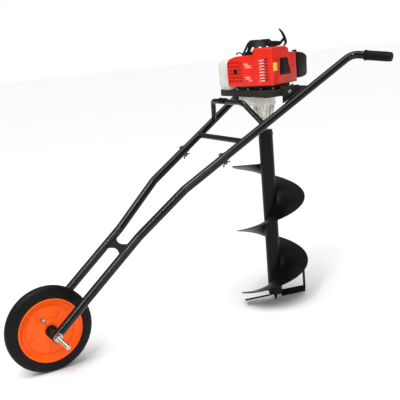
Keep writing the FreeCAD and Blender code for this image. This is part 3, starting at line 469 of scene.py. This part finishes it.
def hexagon(flats, height, chamfer=0.6 * MM):
    """A hexagon head with its top corners turned off."""
    corner = flats / math.sqrt(3)
    shape = push([Vector((corner * math.cos(math.pi * i / 3), corner * math.sin(math.pi * i / 3), 0))
                  for i in range(6)], (0, 0, height))
    top = [e for e in shape.edges if all(v.co.z > height / 2 for v in e.verts)]
    bmesh.ops.bevel(shape, geom=top, offset=chamfer, segments=2, profile=0.5, affect="EDGES")
    return shape


# ---------------------------------------------------------------- wheel
BEAD_R, BEAD_LIP, FOOT_R = 121.5 * MM, 1.5 * MM, 115 * MM
CROWN_POWER, CROWN_STEPS = 0.62, 44
SIDE_RINGS = ((129, 1.1, 0.5), (133.5, 0.8, 0.35), (152, 0.9, -0.5))  # radius, width and lift, mm
GROOVES, GROOVE_W, GROOVE_DEPTH = (0.0, 11.5), 0.9, 0.9  # off the middle, on both sides, mm
TYRE_WALL, INSIDE_SHARE = 6 * MM, 0.8


def tyre():
    """Round-crowned tyre with a bead line, raised sidewall rings and three shallow tread grooves."""
    depth = TYRE_R - BEAD_R - BEAD_LIP
    side = [(FOOT_R, TYRE_HALF - 8 * MM), (BEAD_R - 1.2 * MM, TYRE_HALF - 3.4 * MM),
            (BEAD_R + 0.4 * MM, TYRE_HALF - 1.0 * MM)]
    for i in range(1, CROWN_STEPS + 1):
        a = math.pi / 2 * i / CROWN_STEPS
        r = BEAD_R + BEAD_LIP + depth * math.sin(a)
        h = (TYRE_HALF - 0.6 * MM) * math.cos(a) ** CROWN_POWER if i < CROWN_STEPS else 0.0
        for ring, width, lift in SIDE_RINGS:
            h += lift * MM * math.exp(-((r / MM - ring) / width) ** 2)
        for groove in GROOVES:
            r -= GROOVE_DEPTH * MM * math.exp(-((h / MM - groove) / GROOVE_W) ** 2)
        side.append((r, h))
    outline = side + [(r, -h) for r, h in side[-2::-1]]
    outline += [(r - TYRE_WALL, -h * INSIDE_SHARE) for r, h in side[2:12:3]]
    outline += [(r - TYRE_WALL, h * INSIDE_SHARE) for r, h in side[11:1:-3]]
    shape = moved(spun(outline, 160), facing(Y, WHEEL))
    return piece("tyre_carcass", shape, "wheel", tyre_rubber, ["tyre"], 40)


# The pressed disc's section from its hub to its lip, as (radius, height) in mm.
RIM = [(19.8, 22.0), (20.6, 26.4), (22.4, 27.6), (27, 28.0), (33, 27.8), (36, 27.0), (38.5, 24.6),
       (43, 21.0), (46, 19.6), (50, 18.6), (56, 17.6), (64, 16.8), (72, 16.0), (80, 15.4), (87, 14.6),
       (91, 13.4), (94.5, 11.4), (98, 11.0), (101.5, 11.4), (105, 13.2), (108.5, 15.8), (111.5, 19.4),
       (114, 23.0), (116.2, 25.4), (118.6, 26.6), (121, 25.9), (122.4, 23.6)]
LOBES, LOBE_START = 5, 0.28
LOBE_LIFT, WEB_SINK = 4.0, 2.0
SHEET, SHEET_STEP = 2.0, 0.6


def smooth(t):
    """An even step from 0 to 1."""
    t = min(1.0, max(0.0, t))
    return t * t * (3 - 2 * t)


def rim_lift(r, angle):
    """How far the disc's lobes and the web between them stand off its plain section, in mm."""
    share = (angle / (2 * math.pi) * LOBES + LOBE_START) % 1.0
    crease = min(share, 1 - share) * 2 * math.pi / LOBES * r
    lobe = smooth((r - 42) / 7) * smooth((95 - r) / 6) * smooth((crease - 2.0) / 6)
    return LOBE_LIFT * lobe - WEB_SINK * smooth((r - 40) / 8) * smooth((97 - r) / 4)


def rim_face(side, names):
    """A pressed disc: a ring round the hub, five raised lobes and a rolled lip."""
    count = 200
    shape = bmesh.new()
    rings = []
    for skin in (1, 0):
        for r, h in (RIM if skin else RIM[::-1]):
            ring = []
            for i in range(count):
                angle = 2 * math.pi * i / count
                lift = h + rim_lift(r, angle) - (0 if skin else SHEET)
                radius = (r - (0 if skin else SHEET_STEP)) * MM
                ring.append(shape.verts.new((WHEEL.x + radius * math.cos(angle),
                                             side * lift * MM,
                                             WHEEL.z + radius * math.sin(angle))))
            rings.append(ring)
    for a, b in zip(rings, rings[1:] + rings[:1]):
        for i in range(count):
            j = (i + 1) % count
            shape.faces.new((a[i], a[j], b[j], b[i]))
    return piece(names[0], shape, "wheel", rim_paint, names[1:], 50)


def hub_boss(side, name):
    """The hub's dust collar, standing out round the axle's spacer."""
    outline = [(14.8, 24), (14.8, 49.0), (16.0, 50.2), (18.2, 50.2), (19.4, 49.0), (19.4, 24)]
    shape = moved(spun([(r * MM, h * MM) for r, h in outline], 64), facing(Y * side, WHEEL))
    return piece(name, shape, "wheel", black_plastic)


def valve():
    """The valve's stem with its clamp nut and cap."""
    foot = middle_of("valve_stem")
    outline = [(0, -14), (4.4, -14), (4.4, 0), (8, 0), (8.4, 0.8), (8.4, 4.6), (8, 5.4), (5.2, 5.4),
               (5.2, 8), (6.2, 8.6), (6.2, 15), (5, 16.6), (0, 16.8)]
    shape = turned([(r * MM, h * MM) for r, h in outline], 12)
    shape = moved(shape, facing(-Y, (foot.x, -21 * MM, foot.z)))
    return piece("valve_assembly", shape, "wheel", zinc_plate, ["valve_stem"])


# ---------------------------------------------------------------- axle
AXLE_FACE = 103.7 * MM  # outer face of the frame's eyes, from the wheel's middle
STUD_R, SHANK_R, STUD_PITCH, THREAD_DEPTH = 8 * MM, 7.8 * MM, 5 * MM, 1.5 * MM
WASHER_BORE, WASHER_R, WASHER = 8.2 * MM, 17 * MM, 1.8 * MM
NUT_FLATS, NUT_HEIGHT, HEAD_HEIGHT, HEX_CHAMFER = 24 * MM, 11.2 * MM, 8.2 * MM, 1.2 * MM


def threaded(length, radius, pitch, count=24):
    """A screwed bar standing on Z."""
    steps = int(length / pitch * 6)
    shape = bmesh.new()
    rings = []
    for s in range(steps + 1):
        z = length * s / steps
        ring = []
        for i in range(count):
            phase = (z / pitch - i / count) % 1.0
            r = radius - THREAD_DEPTH * abs(2 * phase - 1) * (1 if z < length - pitch else 1.4)
            ring.append(shape.verts.new((r * math.cos(2 * math.pi * i / count),
                                         r * math.sin(2 * math.pi * i / count), z)))
        rings.append(ring)
    for a, b in zip(rings, rings[1:]):
        for i in range(count):
            j = (i + 1) % count
            shape.faces.new((a[i], a[j], b[j], b[i]))
    shape.faces.new(rings[0][::-1])
    shape.faces.new(rings[-1])
    return shape


def axle():
    """Stud, washers, hexagon head and nut; the thread stands out on the side at -Y."""
    low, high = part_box("axle_bolt")

    def on_axle(shape, out):
        """A shape that stands on the axle at a distance out, towards the side out is on."""
        return moved(shape, facing(Y if out > 0 else -Y, (WHEEL.x, out, WHEEL.z)))

    stud = on_axle(threaded(-low.y - AXLE_FACE, STUD_R, STUD_PITCH), -AXLE_FACE)
    shank = sweep([Vector((WHEEL.x, y, WHEEL.z)) for y in (-AXLE_FACE - 1 * MM, high.y - 1 * MM)],
                  SHANK_R, 32)
    outline = [(WASHER_BORE, 0), (WASHER_R, 0), (WASHER_R, WASHER), (WASHER_BORE, WASHER)]
    washers = [on_axle(turned(outline, 48), s * AXLE_FACE) for s in (-1, 1)]
    nut = on_axle(hexagon(NUT_FLATS, NUT_HEIGHT, HEX_CHAMFER), -AXLE_FACE - WASHER)
    head = on_axle(hexagon(NUT_FLATS, HEAD_HEIGHT, HEX_CHAMFER), AXLE_FACE + WASHER)
    shape = joined([stud, shank, nut, head] + washers)
    return piece("axle_stud", shape, "frame", zinc_plate, ["axle_bolt"], 30)


# ---------------------------------------------------------------- handles and welds
GRIP_LENGTH, GRIP_R, COLLAR_R = 108 * MM, 18.2 * MM, 21.0 * MM
FINGER_RINGS, FINGER_PITCH, FINGER_LIFT = 11, 8.2 * MM, 1.1 * MM
DOME_R, DOME_STEPS = 4 * MM, 4


def grip(side, name, replaces=()):
    """A moulded sleeve: collar, finger rings and a domed end."""
    out = Vector((HANDLE.x, HANDLE.y * side, HANDLE.z)).normalized()
    tip = end_of(("right" if side > 0 else "left") + "_handlebar", out)
    end = -GRIP_LENGTH
    outline = [(UPPER_R, end), (COLLAR_R, end), (COLLAR_R + 0.6 * MM, end + 1.2 * MM),
               (COLLAR_R, end + 4 * MM), (GRIP_R, end + 6 * MM)]
    for i in range(FINGER_RINGS * 6 + 1):
        z = end + 8 * MM + FINGER_PITCH * i / 6
        outline.append((GRIP_R + FINGER_LIFT * abs(math.sin(math.pi * i / 6)) ** 0.6, z))
    for i in range(DOME_STEPS + 1):
        a = math.pi / 2 * i / DOME_STEPS
        outline.append((GRIP_R - DOME_R + DOME_R * math.cos(a), -1 * MM + DOME_R * math.sin(a)))
    outline.append((0, DOME_R - 1 * MM))
    shape = moved(turned(outline, 48), facing(out, tip))
    return piece(name, shape, "frame", grip_rubber, replaces, 50)


def arm_point(run, side=1):
    """A point of an upper run's axis, by its share of the way from bend 2 to bend 3."""
    first = Vector((LOWER_RUN * math.cos(RISE_AB), BEND_2_OUT, LOWER_RUN * math.sin(RISE_AB))) * MM
    last = first + Vector((UPPER_RUN * math.cos(RISE_C), 0, UPPER_RUN * math.sin(RISE_C))) * MM
    last.y = BEND_3_OUT * MM
    p = WHEEL + first + (last - first) * run
    return Vector((p.x, p.y * side, p.z))


def saddle_weld(start, direction, radius, side):
    """The bead where a cross piece of some radius meets an upper run."""
    base, along = arm_point(0, side), (arm_point(1, side) - arm_point(0, side)).normalized()
    direction = Vector(direction).normalized()
    u = direction.orthogonal().normalized()
    w = direction.cross(u)
    path, count = [], 72
    for i in range(count):
        a = 2 * math.pi * i / count
        p = start + u * (radius * math.cos(a)) + w * (radius * math.sin(a))
        m = (p - base) - along * (p - base).dot(along)
        n = direction - along * direction.dot(along)
        half, rest = m.dot(n) / n.dot(n), (m.dot(m) - UPPER_R ** 2) / n.dot(n)
        path.append(p + direction * (-half - math.sqrt(max(0.0, half * half - rest))))
    radii = [(2.0 + 0.35 * math.sin(i * 2 * math.pi / 6)) * MM for i in range(count)]
    return sweep(path, radii, 10, closed=True)


CROSS_WELD_R, YOKE_WELD_R = 11.2 * MM, 10.6 * MM
YOKE_AT = 397.7  # along the upper run from bend 2, mm
YOKE_BACK, YOKE_UP, YOKE_TOP_OUT = 43 * MM, 90 * MM, 110 * MM


def frame_welds():
    """The beads where the cross tube and the rest yoke meet the upper runs."""
    beads = []
    cross = middle_of("cross_tube")
    for side in (1, -1):
        beads.append(saddle_weld(cross, (0, side, 0), CROSS_WELD_R, side))
        foot = arm_point(YOKE_AT / UPPER_RUN, side)
        top = Vector((foot.x - YOKE_BACK, side * YOKE_TOP_OUT, foot.z + YOKE_UP))
        beads.append(saddle_weld(top.lerp(foot, 0.6), foot - top, YOKE_WELD_R, side))
    return piece("frame_welds", joined(beads), "frame", frame_paint, sharp=80)


# ---------------------------------------------------------------- engine, in mm off the auger's axis
def engine_box(x0, x1, y0, y1, z0, z1, radius=0.0, segments=4):
    """A rounded block in the engine's own turned axes."""
    shape = rounded_box((x0 * MM, y0 * MM, z0 * MM), (x1 * MM, y1 * MM, z1 * MM), radius * MM, segments)
    return moved(shape, ENGINE)


COVER = dict(x0=-130, x1=48, y0=-140, y1=79, z0=956, z1=1076)
BLOCK = dict(x1=0, y1=-50, z1=1102)
VENTS = dict(y=73, z=972, columns=9, rows=6, wide=4.4, tall=11.0, step_y=7.9, step_z=14.6)
LOUVRES = dict(y0=-121, y1=-77, mid=-101, z=972, count=8, step=11.3, slope=5.5, tall=5.6)
OUTLET_Y, OUTLET_Z, OUTLET_R = 38, 1014, 11
STARTER_ROOM_R, STARTER_ROOM_H = 68, 60


def cover_block():
    """The cover's outside: a low body with a fallen shoulder on the tank side and a high block."""
    c, b = COVER, BLOCK
    end = [(c["y0"], c["z0"]), (c["y1"] - 5, c["z0"]), (c["y1"], c["z0"] + 6),
           (c["y1"], c["z1"] - 26), (c["y1"] - 9, c["z1"] - 12), (c["y1"] - 34, c["z1"] - 3),
           (c["y1"] - 52, c["z1"]), (c["y0"], c["z1"])]
    low = push([Vector((c["x0"] * MM, y * MM, z * MM)) for y, z in end],
               ((c["x1"] - c["x0"]) * MM, 0, 0))
    low = moved(round_off(low, 6 * MM, 4), ENGINE)
    side = [(c["x0"] + 1, c["z0"] + 30), (c["x0"] + 1, b["z1"] - 4), (c["x0"] + 10, b["z1"]),
            (b["x1"] - 26, b["z1"]), (b["x1"] - 6, b["z1"] - 8), (b["x1"], b["z1"] - 26),
            (b["x1"], c["z0"] + 30)]
    high = push([Vector((x * MM, (c["y0"] + 0.6) * MM, z * MM)) for x, z in side],
                (0, (b["y1"] - c["y0"]) * MM, 0))
    high = moved(round_off(high, 9 * MM, 5), ENGINE)
    return low, high


def rod(radius, length, count):
    """A plain cylinder on Z, from mm."""
    return turned([(0, 0), (radius * MM, 0), (radius * MM, length * MM), (0, length * MM)], count)


def outlet_place():
    """The exhaust outlet's place on the cover's end, a little outside it and looking in."""
    return ENGINE @ facing(X, ((COVER["x0"] - 3) * MM, OUTLET_Y * MM, OUTLET_Z * MM))


def hatch_outline(inset, y):
    """The cylinder-head hatch's outline, drawn in by an inset."""
    return [Vector(p) * MM for p in ((-77 + inset, y, 992 + inset), (5 - inset, y, 992 + inset),
                                     (-16 - inset, y, 1058 - inset), (-72 + inset, y, 1058 - inset))]


def engine_cover():
    """The red cover as a shell, cut through by its vents, louvres, hatch and outlet."""
    c, b, v, s = COVER, BLOCK, VENTS, LOUVRES
    skin = boolean("UNION", *cover_block())
    cuts = [engine_box(c["x0"] + 3, c["x1"] + 9, c["y0"] + 3, c["y1"] - 3, c["z0"] - 9, c["z1"] - 14, 5),
            engine_box(c["x0"] + 4, b["x1"] - 3, c["y0"] + 4, b["y1"] - 3, c["z1"] - 20, b["z1"] - 4, 5)]
    for row in range(v["rows"]):
        for column in range(v["columns"]):
            y, z = v["y"] - v["step_y"] * column, v["z"] + v["step_z"] * row
            cuts.append(engine_box(c["x0"] - 2, c["x0"] + 6, y - v["wide"], y, z, z + v["tall"], 1, 2))
    panel = engine_box(c["x0"] - 5, c["x0"] + 1.6, s["y0"] - 5, s["y1"] + 5, s["z"] - 7,
                       s["z"] + s["step"] * s["count"] + 3, 3, 3)
    cuts.append(panel)
    for i in range(s["count"]):
        z = s["z"] + s["step"] * i
        outline = [Vector(((c["x0"] - 1) * MM, y * MM, h * MM)) for y, h in
                   ((s["y1"], z), (s["y0"], z + s["slope"]), (s["y0"], z + s["slope"] + s["tall"]),
                    (s["y1"], z + s["tall"]))]
        cuts.append(moved(round_off(push(outline, (8 * MM, 0, 0)), 0.8 * MM, 2), ENGINE))
    hatch = push(hatch_outline(0, c["y0"] - 3), (0, 9 * MM, 0))
    cuts.append(moved(round_off(hatch, 2.5 * MM, 3), ENGINE))
    cuts.append(moved(rod(OUTLET_R, 12, 40), outlet_place()))
    starter_room = rod(STARTER_ROOM_R, STARTER_ROOM_H, 96)
    cuts.append(moved(starter_room, ENGINE @ Matrix.Translation((0, 0, (c["z1"] - 22) * MM))))
    shape = carved(skin, joined(cuts))
    return piece("engine_shroud", shape, "power_head", red_plastic,
                 ["engine_cover"], 32)


def louvre_highlight_and_vent_shade():
    """Pale slanted strips over the left half of the cover's louvres, painted highlight for light caught
    in the openings, and dark red sheets behind the vents and louvres, painted shade.
    """
    c, s = COVER, LOUVRES
    # Pale strips on the louvres' left halves: painted highlight where the openings catch light.
    highlight_strips = []
    for i in range(s["count"]):
        z = s["z"] + s["step"] * i - 1.5
        outline = [Vector(((c["x0"] + 4.2) * MM, y * MM, h * MM)) for y, h in
                   ((s["y1"] + 3, z), (s["mid"], z + s["slope"] * 0.5),
                    (s["mid"], z + s["slope"] * 0.5 + s["tall"]), (s["y1"] + 3, z + s["tall"] + 0.6))]
        highlight_strip = round_off(push(outline, (1.4 * MM, 0, 0)), 0.4 * MM, 2)
        highlight_strips.append(moved(highlight_strip, ENGINE))
    piece("louvre_painted_highlight", joined(highlight_strips), "power_head", slat_painted_highlight)
    # Dark red sheets just behind the vents and louvres: painted shade inside the openings.
    v = VENTS
    shade_sheets = [engine_box(c["x0"] + 3.4, c["x0"] + 4.6, v["y"] - v["step_y"] * v["columns"] - 3,
                        v["y"] + 2.5, v["z"] - 4, v["z"] + v["step_z"] * v["rows"], 0.4, 2),
             engine_box(c["x0"] + 7, c["x0"] + 8.4, s["y0"] - 4, s["y1"] + 4, s["z"] - 6,
                        s["z"] + s["step"] * s["count"] + 4, 0.4, 2)]
    hole = moved(rod(OUTLET_R - 0.4, 20, 40), outlet_place())
    piece("vent_painted_shade", carved(joined(shade_sheets), hole), "power_head", red_painted_shade)


def hatch_grille():
    """The cylinder-head hatch: a ribbed black panel let into the cover."""
    c = COVER
    plate = round_off(push(hatch_outline(1.4, c["y0"] + 2.5), (0, 3 * MM, 0)), 0.8 * MM, 2)
    bars = []
    for i in range(6):
        z = 998 + 10 * i
        right = 3 - 21 * (z - 992) / 66 - 4
        bars.append(rounded_box((-71 * MM, (c["y0"] + 0.8) * MM, z * MM),
                                (right * MM, (c["y0"] + 4) * MM, (z + 4) * MM), 0.9 * MM, 2))
    shape = moved(joined([plate] + bars), ENGINE)
    return piece("hatch_panel", shape, "power_head", black_plastic, ["head_hatch"])


def labels():
    """A blank yellow label and a few plain pale bars where maker's print would be."""
    c = COVER
    plate = engine_box(-122, -93, c["y0"] - 0.35, c["y0"] + 0.6, 1011, 1043, 0.3, 2)
    piece("blank_label", plate, "power_head", yellow_vinyl)
    bars = []
    for z, y0, y1 in ((1042, -26, -6), (1035, -40, -10), (1028, -44, -14), (990, -34, -8),
                      (983, -38, -12), (976, -42, -26)):
        bars.append(engine_box(c["x0"] - 0.3, c["x0"] + 0.8, y0, y1, z, z + 3.4, 0.25, 2))
    piece("plain_bars", joined(bars), "power_head", pale_print)


def fuel_tank():
    """A blow-moulded tank with broad round edges and a filler neck."""
    top = 1062
    body = rounded_box(Vector((-112, 80, 941)) * MM, Vector((92, 147, top)) * MM, 24 * MM, 8)
    outline = [(15.6 * MM, -8 * MM), (15.6 * MM, 9 * MM), (12 * MM, 10 * MM), (12 * MM, -8 * MM)]
    neck = moved(turned(outline), Matrix.Translation(Vector((60, 113, top)) * MM))
    shape = moved(joined([body, neck]), ENGINE)
    return piece("tank_shell", shape, "power_head", tank_plastic, ["fuel_tank"], 40)


def air_box():
    """The air cleaner's black case: a sloping back, moulded ribs and a clamp knob."""
    side = [(77.2, 968), (118, 968), (144, 973), (152, 984), (153.5, 1030), (155.5, 1044),
            (151, 1056), (130, 1066), (100, 1071.5), (77.2, 1072)]
    body = round_off(push([Vector((x, -126, z)) * MM for x, z in side], (0, 116 * MM, 0)), 4 * MM, 3)
    ribs = [rounded_box(Vector((150, y, 992)) * MM, Vector((155, y + 4, 1030)) * MM, 1.2 * MM, 2)
            for y in range(-112, -26, 12)]
    knob = moved(turned([(0, 0), (8 * MM, 0), (9.5 * MM, 2 * MM), (9.5 * MM, 7 * MM), (7 * MM, 10 * MM),
                         (0, 10.5 * MM)], 32), Matrix.Translation(Vector((88, -108, 1071)) * MM))
    seam = rounded_box(Vector((88, -126.6, 967.4)) * MM, Vector((90.5, -9.4, 1071.2)) * MM, 0.6 * MM, 2)
    shape = moved(joined([body, knob, seam] + ribs), ENGINE)
    return piece("air_cleaner_case", shape, "power_head", black_plastic,
                 ["filter_cover"])


ROPE_Y = -32.4  # the rope leaves the starter's reel here


def pull_handle():
    """The starter's crescent handle on its tapered neck."""
    def at(x, z):
        return Vector((AUGER.x + x * MM, ROPE_Y * MM, z * MM))
    path = curve_through([at(77, 1169.5), at(88, 1158.5), at(98, 1143.6), at(103.5, 1130),
                          at(108, 1116), at(105, 1107), at(96, 1101)], 7)
    last = len(path) - 1
    radii = [(2.0 + 5.2 * math.sin(math.pi * (0.04 + 0.9 * i / last)) ** 0.8) * MM
             for i in range(last + 1)]
    crescent = sweep(path, radii, 20, squeeze=0.8)
    neck = sweep(curve_through([at(77, 1112), at(84, 1116), at(94, 1124), at(103, 1129)], 5),
                 [(5.4 + 1.4 * abs(i - 7) / 7) * MM for i in range(16)], 20)
    return piece("pull_handle", joined([crescent, neck]), "pull_grip", black_plastic,
                 ["starter_grip"], 50)


STARTER_RIBS, STARTER_RIB_START = 12, 0.36


def starter_cage():
    """The recoil starter's cover: a slotted cone with a rimmed top, and the rope's spout."""
    outer = [(74, 1076.6), (74, 1084), (71, 1087), (69, 1087), (68.6, 1076.6)]
    foot = spun([(r * MM, z * MM) for r, z in outer], 96)
    top = [(0, 1131), (40, 1131), (43, 1130.2), (48.4, 1125), (59, 1106.5), (56, 1105.5), (44, 1123),
           (0, 1123.5)]
    cap = turned([(r * MM, z * MM) for r, z in top], 96)
    shapes = [foot, cap]
    for i in range(STARTER_RIBS):
        a = 2 * math.pi * (i + STARTER_RIB_START) / STARTER_RIBS
        out, along = Vector((math.cos(a), math.sin(a), 0)), Vector((-math.sin(a), math.cos(a), 0))
        outline = [out * 73.4 + Z * 1078, out * 73.4 + Z * 1085, out * 50.4 + Z * 1124,
                   out * 44 + Z * 1124, out * 47 + Z * 1117, out * 68 + Z * 1083, out * 68 + Z * 1078]
        rib = push([(p - along * 8) * MM for p in outline], along * 16 * MM)
        shapes.append(round_off(rib, 1.0 * MM, 2))
        slot_rib = rounded_box(Vector((14, -1.5, 1130)) * MM, Vector((42, 1.5, 1133.4)) * MM, 0.8 * MM, 2)
        shapes.append(moved(slot_rib, Matrix.Rotation(a, 4, "Z")))
    spout = turned([(r * MM, h * MM) for r, h in ((3, 0), (12, 0), (11, 18), (8.6, 37), (7.4, 38),
                                                  (3, 38))], 40)
    shapes.append(moved(spout, facing(X, (40 * MM, ROPE_Y * MM, 1112 * MM))))
    shape = moved(joined(shapes), Matrix.Translation(AUGER))
    return piece("starter_cage", shape, "power_head", black_plastic,
                 ["starter_housing"], 35)


def lifting_hook():
    """A small bent-wire hook on the cover's top beside the starter."""
    path = [Vector(p) * MM for p in ((-72, 38, 1079), (-78, 41, 1086), (-88, 46, 1088),
                                     (-95, 50, 1085), (-95, 50, 1080))]
    hook = sweep(curve_through(path, 5), 2.6 * MM, 12)
    return piece("lifting_hook", moved(hook, ENGINE), "power_head", black_plastic)


GEARBOX_RIBS = 14


def gearbox_ribs():
    """Cast ribs down the gearbox's skirt and neck, with a bead at each change of size."""
    ribs = []
    for i in range(GEARBOX_RIBS):
        a = 2 * math.pi * i / GEARBOX_RIBS
        outline = [Vector((34, 0, 812)), Vector((43.5, 0, 846)), Vector((46, 0, 869)),
                   Vector((30, 0, 869)), Vector((25, 0, 812))]
        rib = round_off(push([(p - Y * 2) * MM for p in outline], Y * 4 * MM), 0.8 * MM, 2)
        ribs.append(moved(rib, Matrix.Rotation(a, 4, "Z")))
    for r, z, thick in ((29.6, 810, 2.4), (41, 868, 3.0)):
        ring = [Vector((r * math.cos(t * math.pi / 32), r * math.sin(t * math.pi / 32), z)) * MM
                for t in range(64)]
        ribs.append(sweep(ring, thick * MM, 12, closed=True))
    shape = moved(joined(ribs), Matrix.Translation(AUGER))
    return piece("gearbox_ribs", shape, "power_head", cast_alloy)


def housing_screws():
    """Bright screws round the clutch housing's foot."""
    heads = []
    spots = [(-64, -86), (-66, -40), (-66, 8), (-64, 56), (-20, -90), (24, -90), (56, -86), (58, 58)]
    for x, y in spots:
        head = joined([moved(hexagon(9 * MM, 4.6 * MM), Matrix.Translation((0, 0, 1.2 * MM))),
                       turned([(0, 0), (8 * MM, 0), (8 * MM, 1.2 * MM), (0, 1.2 * MM)], 24)])
        outward = Vector((x, y, 0)).normalized() * 20
        heads.append(moved(head, ENGINE @ Matrix.Translation((Vector((x, y, 939)) + outward) * MM)))
    return piece("housing_screws", joined(heads), "power_head", zinc_plate)


# ---------------------------------------------------------------- auger
PITCH, FLIGHT_TOP, FLIGHT_TURNS, FLIGHT_ANGLE = 0.285, 0.619, 2.0, math.radians(150.7)
FLIGHT_THICK, WELD_R, WELD_STEPS = 4 * MM, 30.2 * MM, 300


def flight_weld():
    """The bead along the root of the flight, under it and over it."""
    beads = []
    start = FLIGHT_TOP - PITCH * FLIGHT_TURNS - FLIGHT_THICK
    for lift in (-0.4 * MM, FLIGHT_THICK + 0.4 * MM):
        path, radii = [], []
        for i in range(WELD_STEPS + 1):
            turn = 2 * math.pi * FLIGHT_TURNS * i / WELD_STEPS
            a = turn + FLIGHT_ANGLE
            path.append(AUGER + Vector((WELD_R * math.cos(a), WELD_R * math.sin(a),
                                        start + PITCH * turn / (2 * math.pi) + lift)))
            radii.append((1.8 + 0.3 * math.sin(i * 2.1)) * MM)
        beads.append(sweep(path, radii, 8))
    return piece("flight_weld", joined(beads), "auger", auger_paint, sharp=80)


# ---------------------------------------------------------------- build the pieces
tyre()
rim_face(-1, ["rim_disc_left", "left_rim_half"])
rim_face(1, ["rim_disc_right", "right_rim_half"])
hub_boss(-1, "hub_cap_left")
hub_boss(1, "hub_cap_right")
valve()
axle()
grip(1, "right_grip", ["grips"])
grip(-1, "left_grip")
frame_welds()
engine_cover()
louvre_highlight_and_vent_shade()
hatch_grille()
labels()
fuel_tank()
air_box()
housing_screws()
pull_handle()
starter_cage()
lifting_hook()
gearbox_ribs()
flight_weld()


# ---------------------------------------------------------------- floor, light and camera
FLOOR_REACH = 30.0
ROOM_LIGHT = 0.4
SOFT_POWER, SOFT_ANGLE, SOFT_TILT = 2.4, math.radians(60), (math.radians(8), math.radians(-12), 0)
CAMERA_TURN, CAMERA_PITCH, CAMERA_ROLL = (math.radians(a) for a in (-29.3, 13.1, -5.0))
CAMERA_FROM_WHEEL = Vector((-0.6393, -2.3586, 1.1526))
LENS, SENSOR = 61.7, 36.0


def studio():
    """A white floor that runs to the horizon, under a backdrop brighter than its light."""
    floor_mesh = bpy.data.meshes.new("floor")
    corners = [(x * FLOOR_REACH, y * FLOOR_REACH, 0) for x, y in ((-1, -1), (1, -1), (1, 1), (-1, 1))]
    floor_mesh.from_pydata(corners, [], [(0, 1, 2, 3)])
    floor = bpy.data.objects.new("floor", floor_mesh)
    bpy.context.scene.collection.objects.link(floor)
    paper = Nodes("floor_paper")
    shades = [(0.3, (0.92, 0.92, 0.92)), (0.7, (0.935, 0.935, 0.935))]
    paper.link(paper.ramp(paper.noise(3, 2), shades), paper.shader.inputs["Base Color"])
    paper.set(Roughness=0.9, Specular_IOR_Level=0.1)
    floor_mesh.materials.append(paper.material)
    world = bpy.data.worlds.new("studio")
    bpy.context.scene.world = world
    world.use_nodes = True
    tree = world.node_tree
    backdrop = tree.nodes["Background"]
    backdrop.inputs["Color"].default_value = (1, 1, 1, 1)
    room = tree.nodes.new("ShaderNodeBackground")
    room.inputs["Strength"].default_value = ROOM_LIGHT
    seen, mix = tree.nodes.new("ShaderNodeLightPath"), tree.nodes.new("ShaderNodeMixShader")
    tree.links.new(seen.outputs["Is Camera Ray"], mix.inputs["Fac"])
    tree.links.new(room.outputs["Background"], mix.inputs[1])
    tree.links.new(backdrop.outputs["Background"], mix.inputs[2])
    tree.links.new(mix.outputs["Shader"], tree.nodes["World Output"].inputs["Surface"])


def area_light(name, place, target, size, power, tall=None):
    """A flat lamp at a place, turned to its target."""
    light = bpy.data.lights.new(name, "AREA")
    light.shape = "RECTANGLE"
    light.size, light.size_y, light.energy = size, tall or size, power
    made = bpy.data.objects.new(name, light)
    bpy.context.scene.collection.objects.link(made)
    made.location = place
    made.rotation_euler = (Vector(target) - Vector(place)).to_track_quat("-Z", "Y").to_euler()


def soft_light():
    """A wide, even light from overhead."""
    soft = bpy.data.lights.new("overhead", "SUN")
    soft.energy, soft.angle = SOFT_POWER, SOFT_ANGLE
    above = bpy.data.objects.new("overhead", soft)
    above.rotation_euler = SOFT_TILT
    bpy.context.scene.collection.objects.link(above)


def camera():
    turn, pitch, roll = CAMERA_TURN, CAMERA_PITCH, CAMERA_ROLL
    ahead = Vector((-math.sin(turn) * math.cos(pitch), math.cos(turn) * math.cos(pitch),
                    -math.sin(pitch)))
    flat = ahead.cross(Z).normalized()
    up = flat.cross(ahead)
    right = flat * math.cos(roll) + up * math.sin(roll)
    top = up * math.cos(roll) - flat * math.sin(roll)
    data = bpy.data.cameras.new("camera")
    data.lens, data.sensor_width = LENS, SENSOR
    made = bpy.data.objects.new("camera", data)
    bpy.context.scene.collection.objects.link(made)
    place = Vector((WHEEL.x, 0, 0)) + CAMERA_FROM_WHEEL
    made.matrix_world = Matrix(((right.x, top.x, -ahead.x, place.x), (right.y, top.y, -ahead.y, place.y),
                                (right.z, top.z, -ahead.z, place.z), (0, 0, 0, 1)))
    bpy.context.scene.camera = made


studio()
area_light("key", (-1.8, -1.6, 3.2), (0.1, 0, 0.5), 0.16, 66, 3.0)
soft_light()
area_light("front", (-0.6, -4.2, 1.9), (0.2, 0, 0.6), 1.4, 20)
camera()
bpy.context.scene.view_settings.view_transform = "Standard"
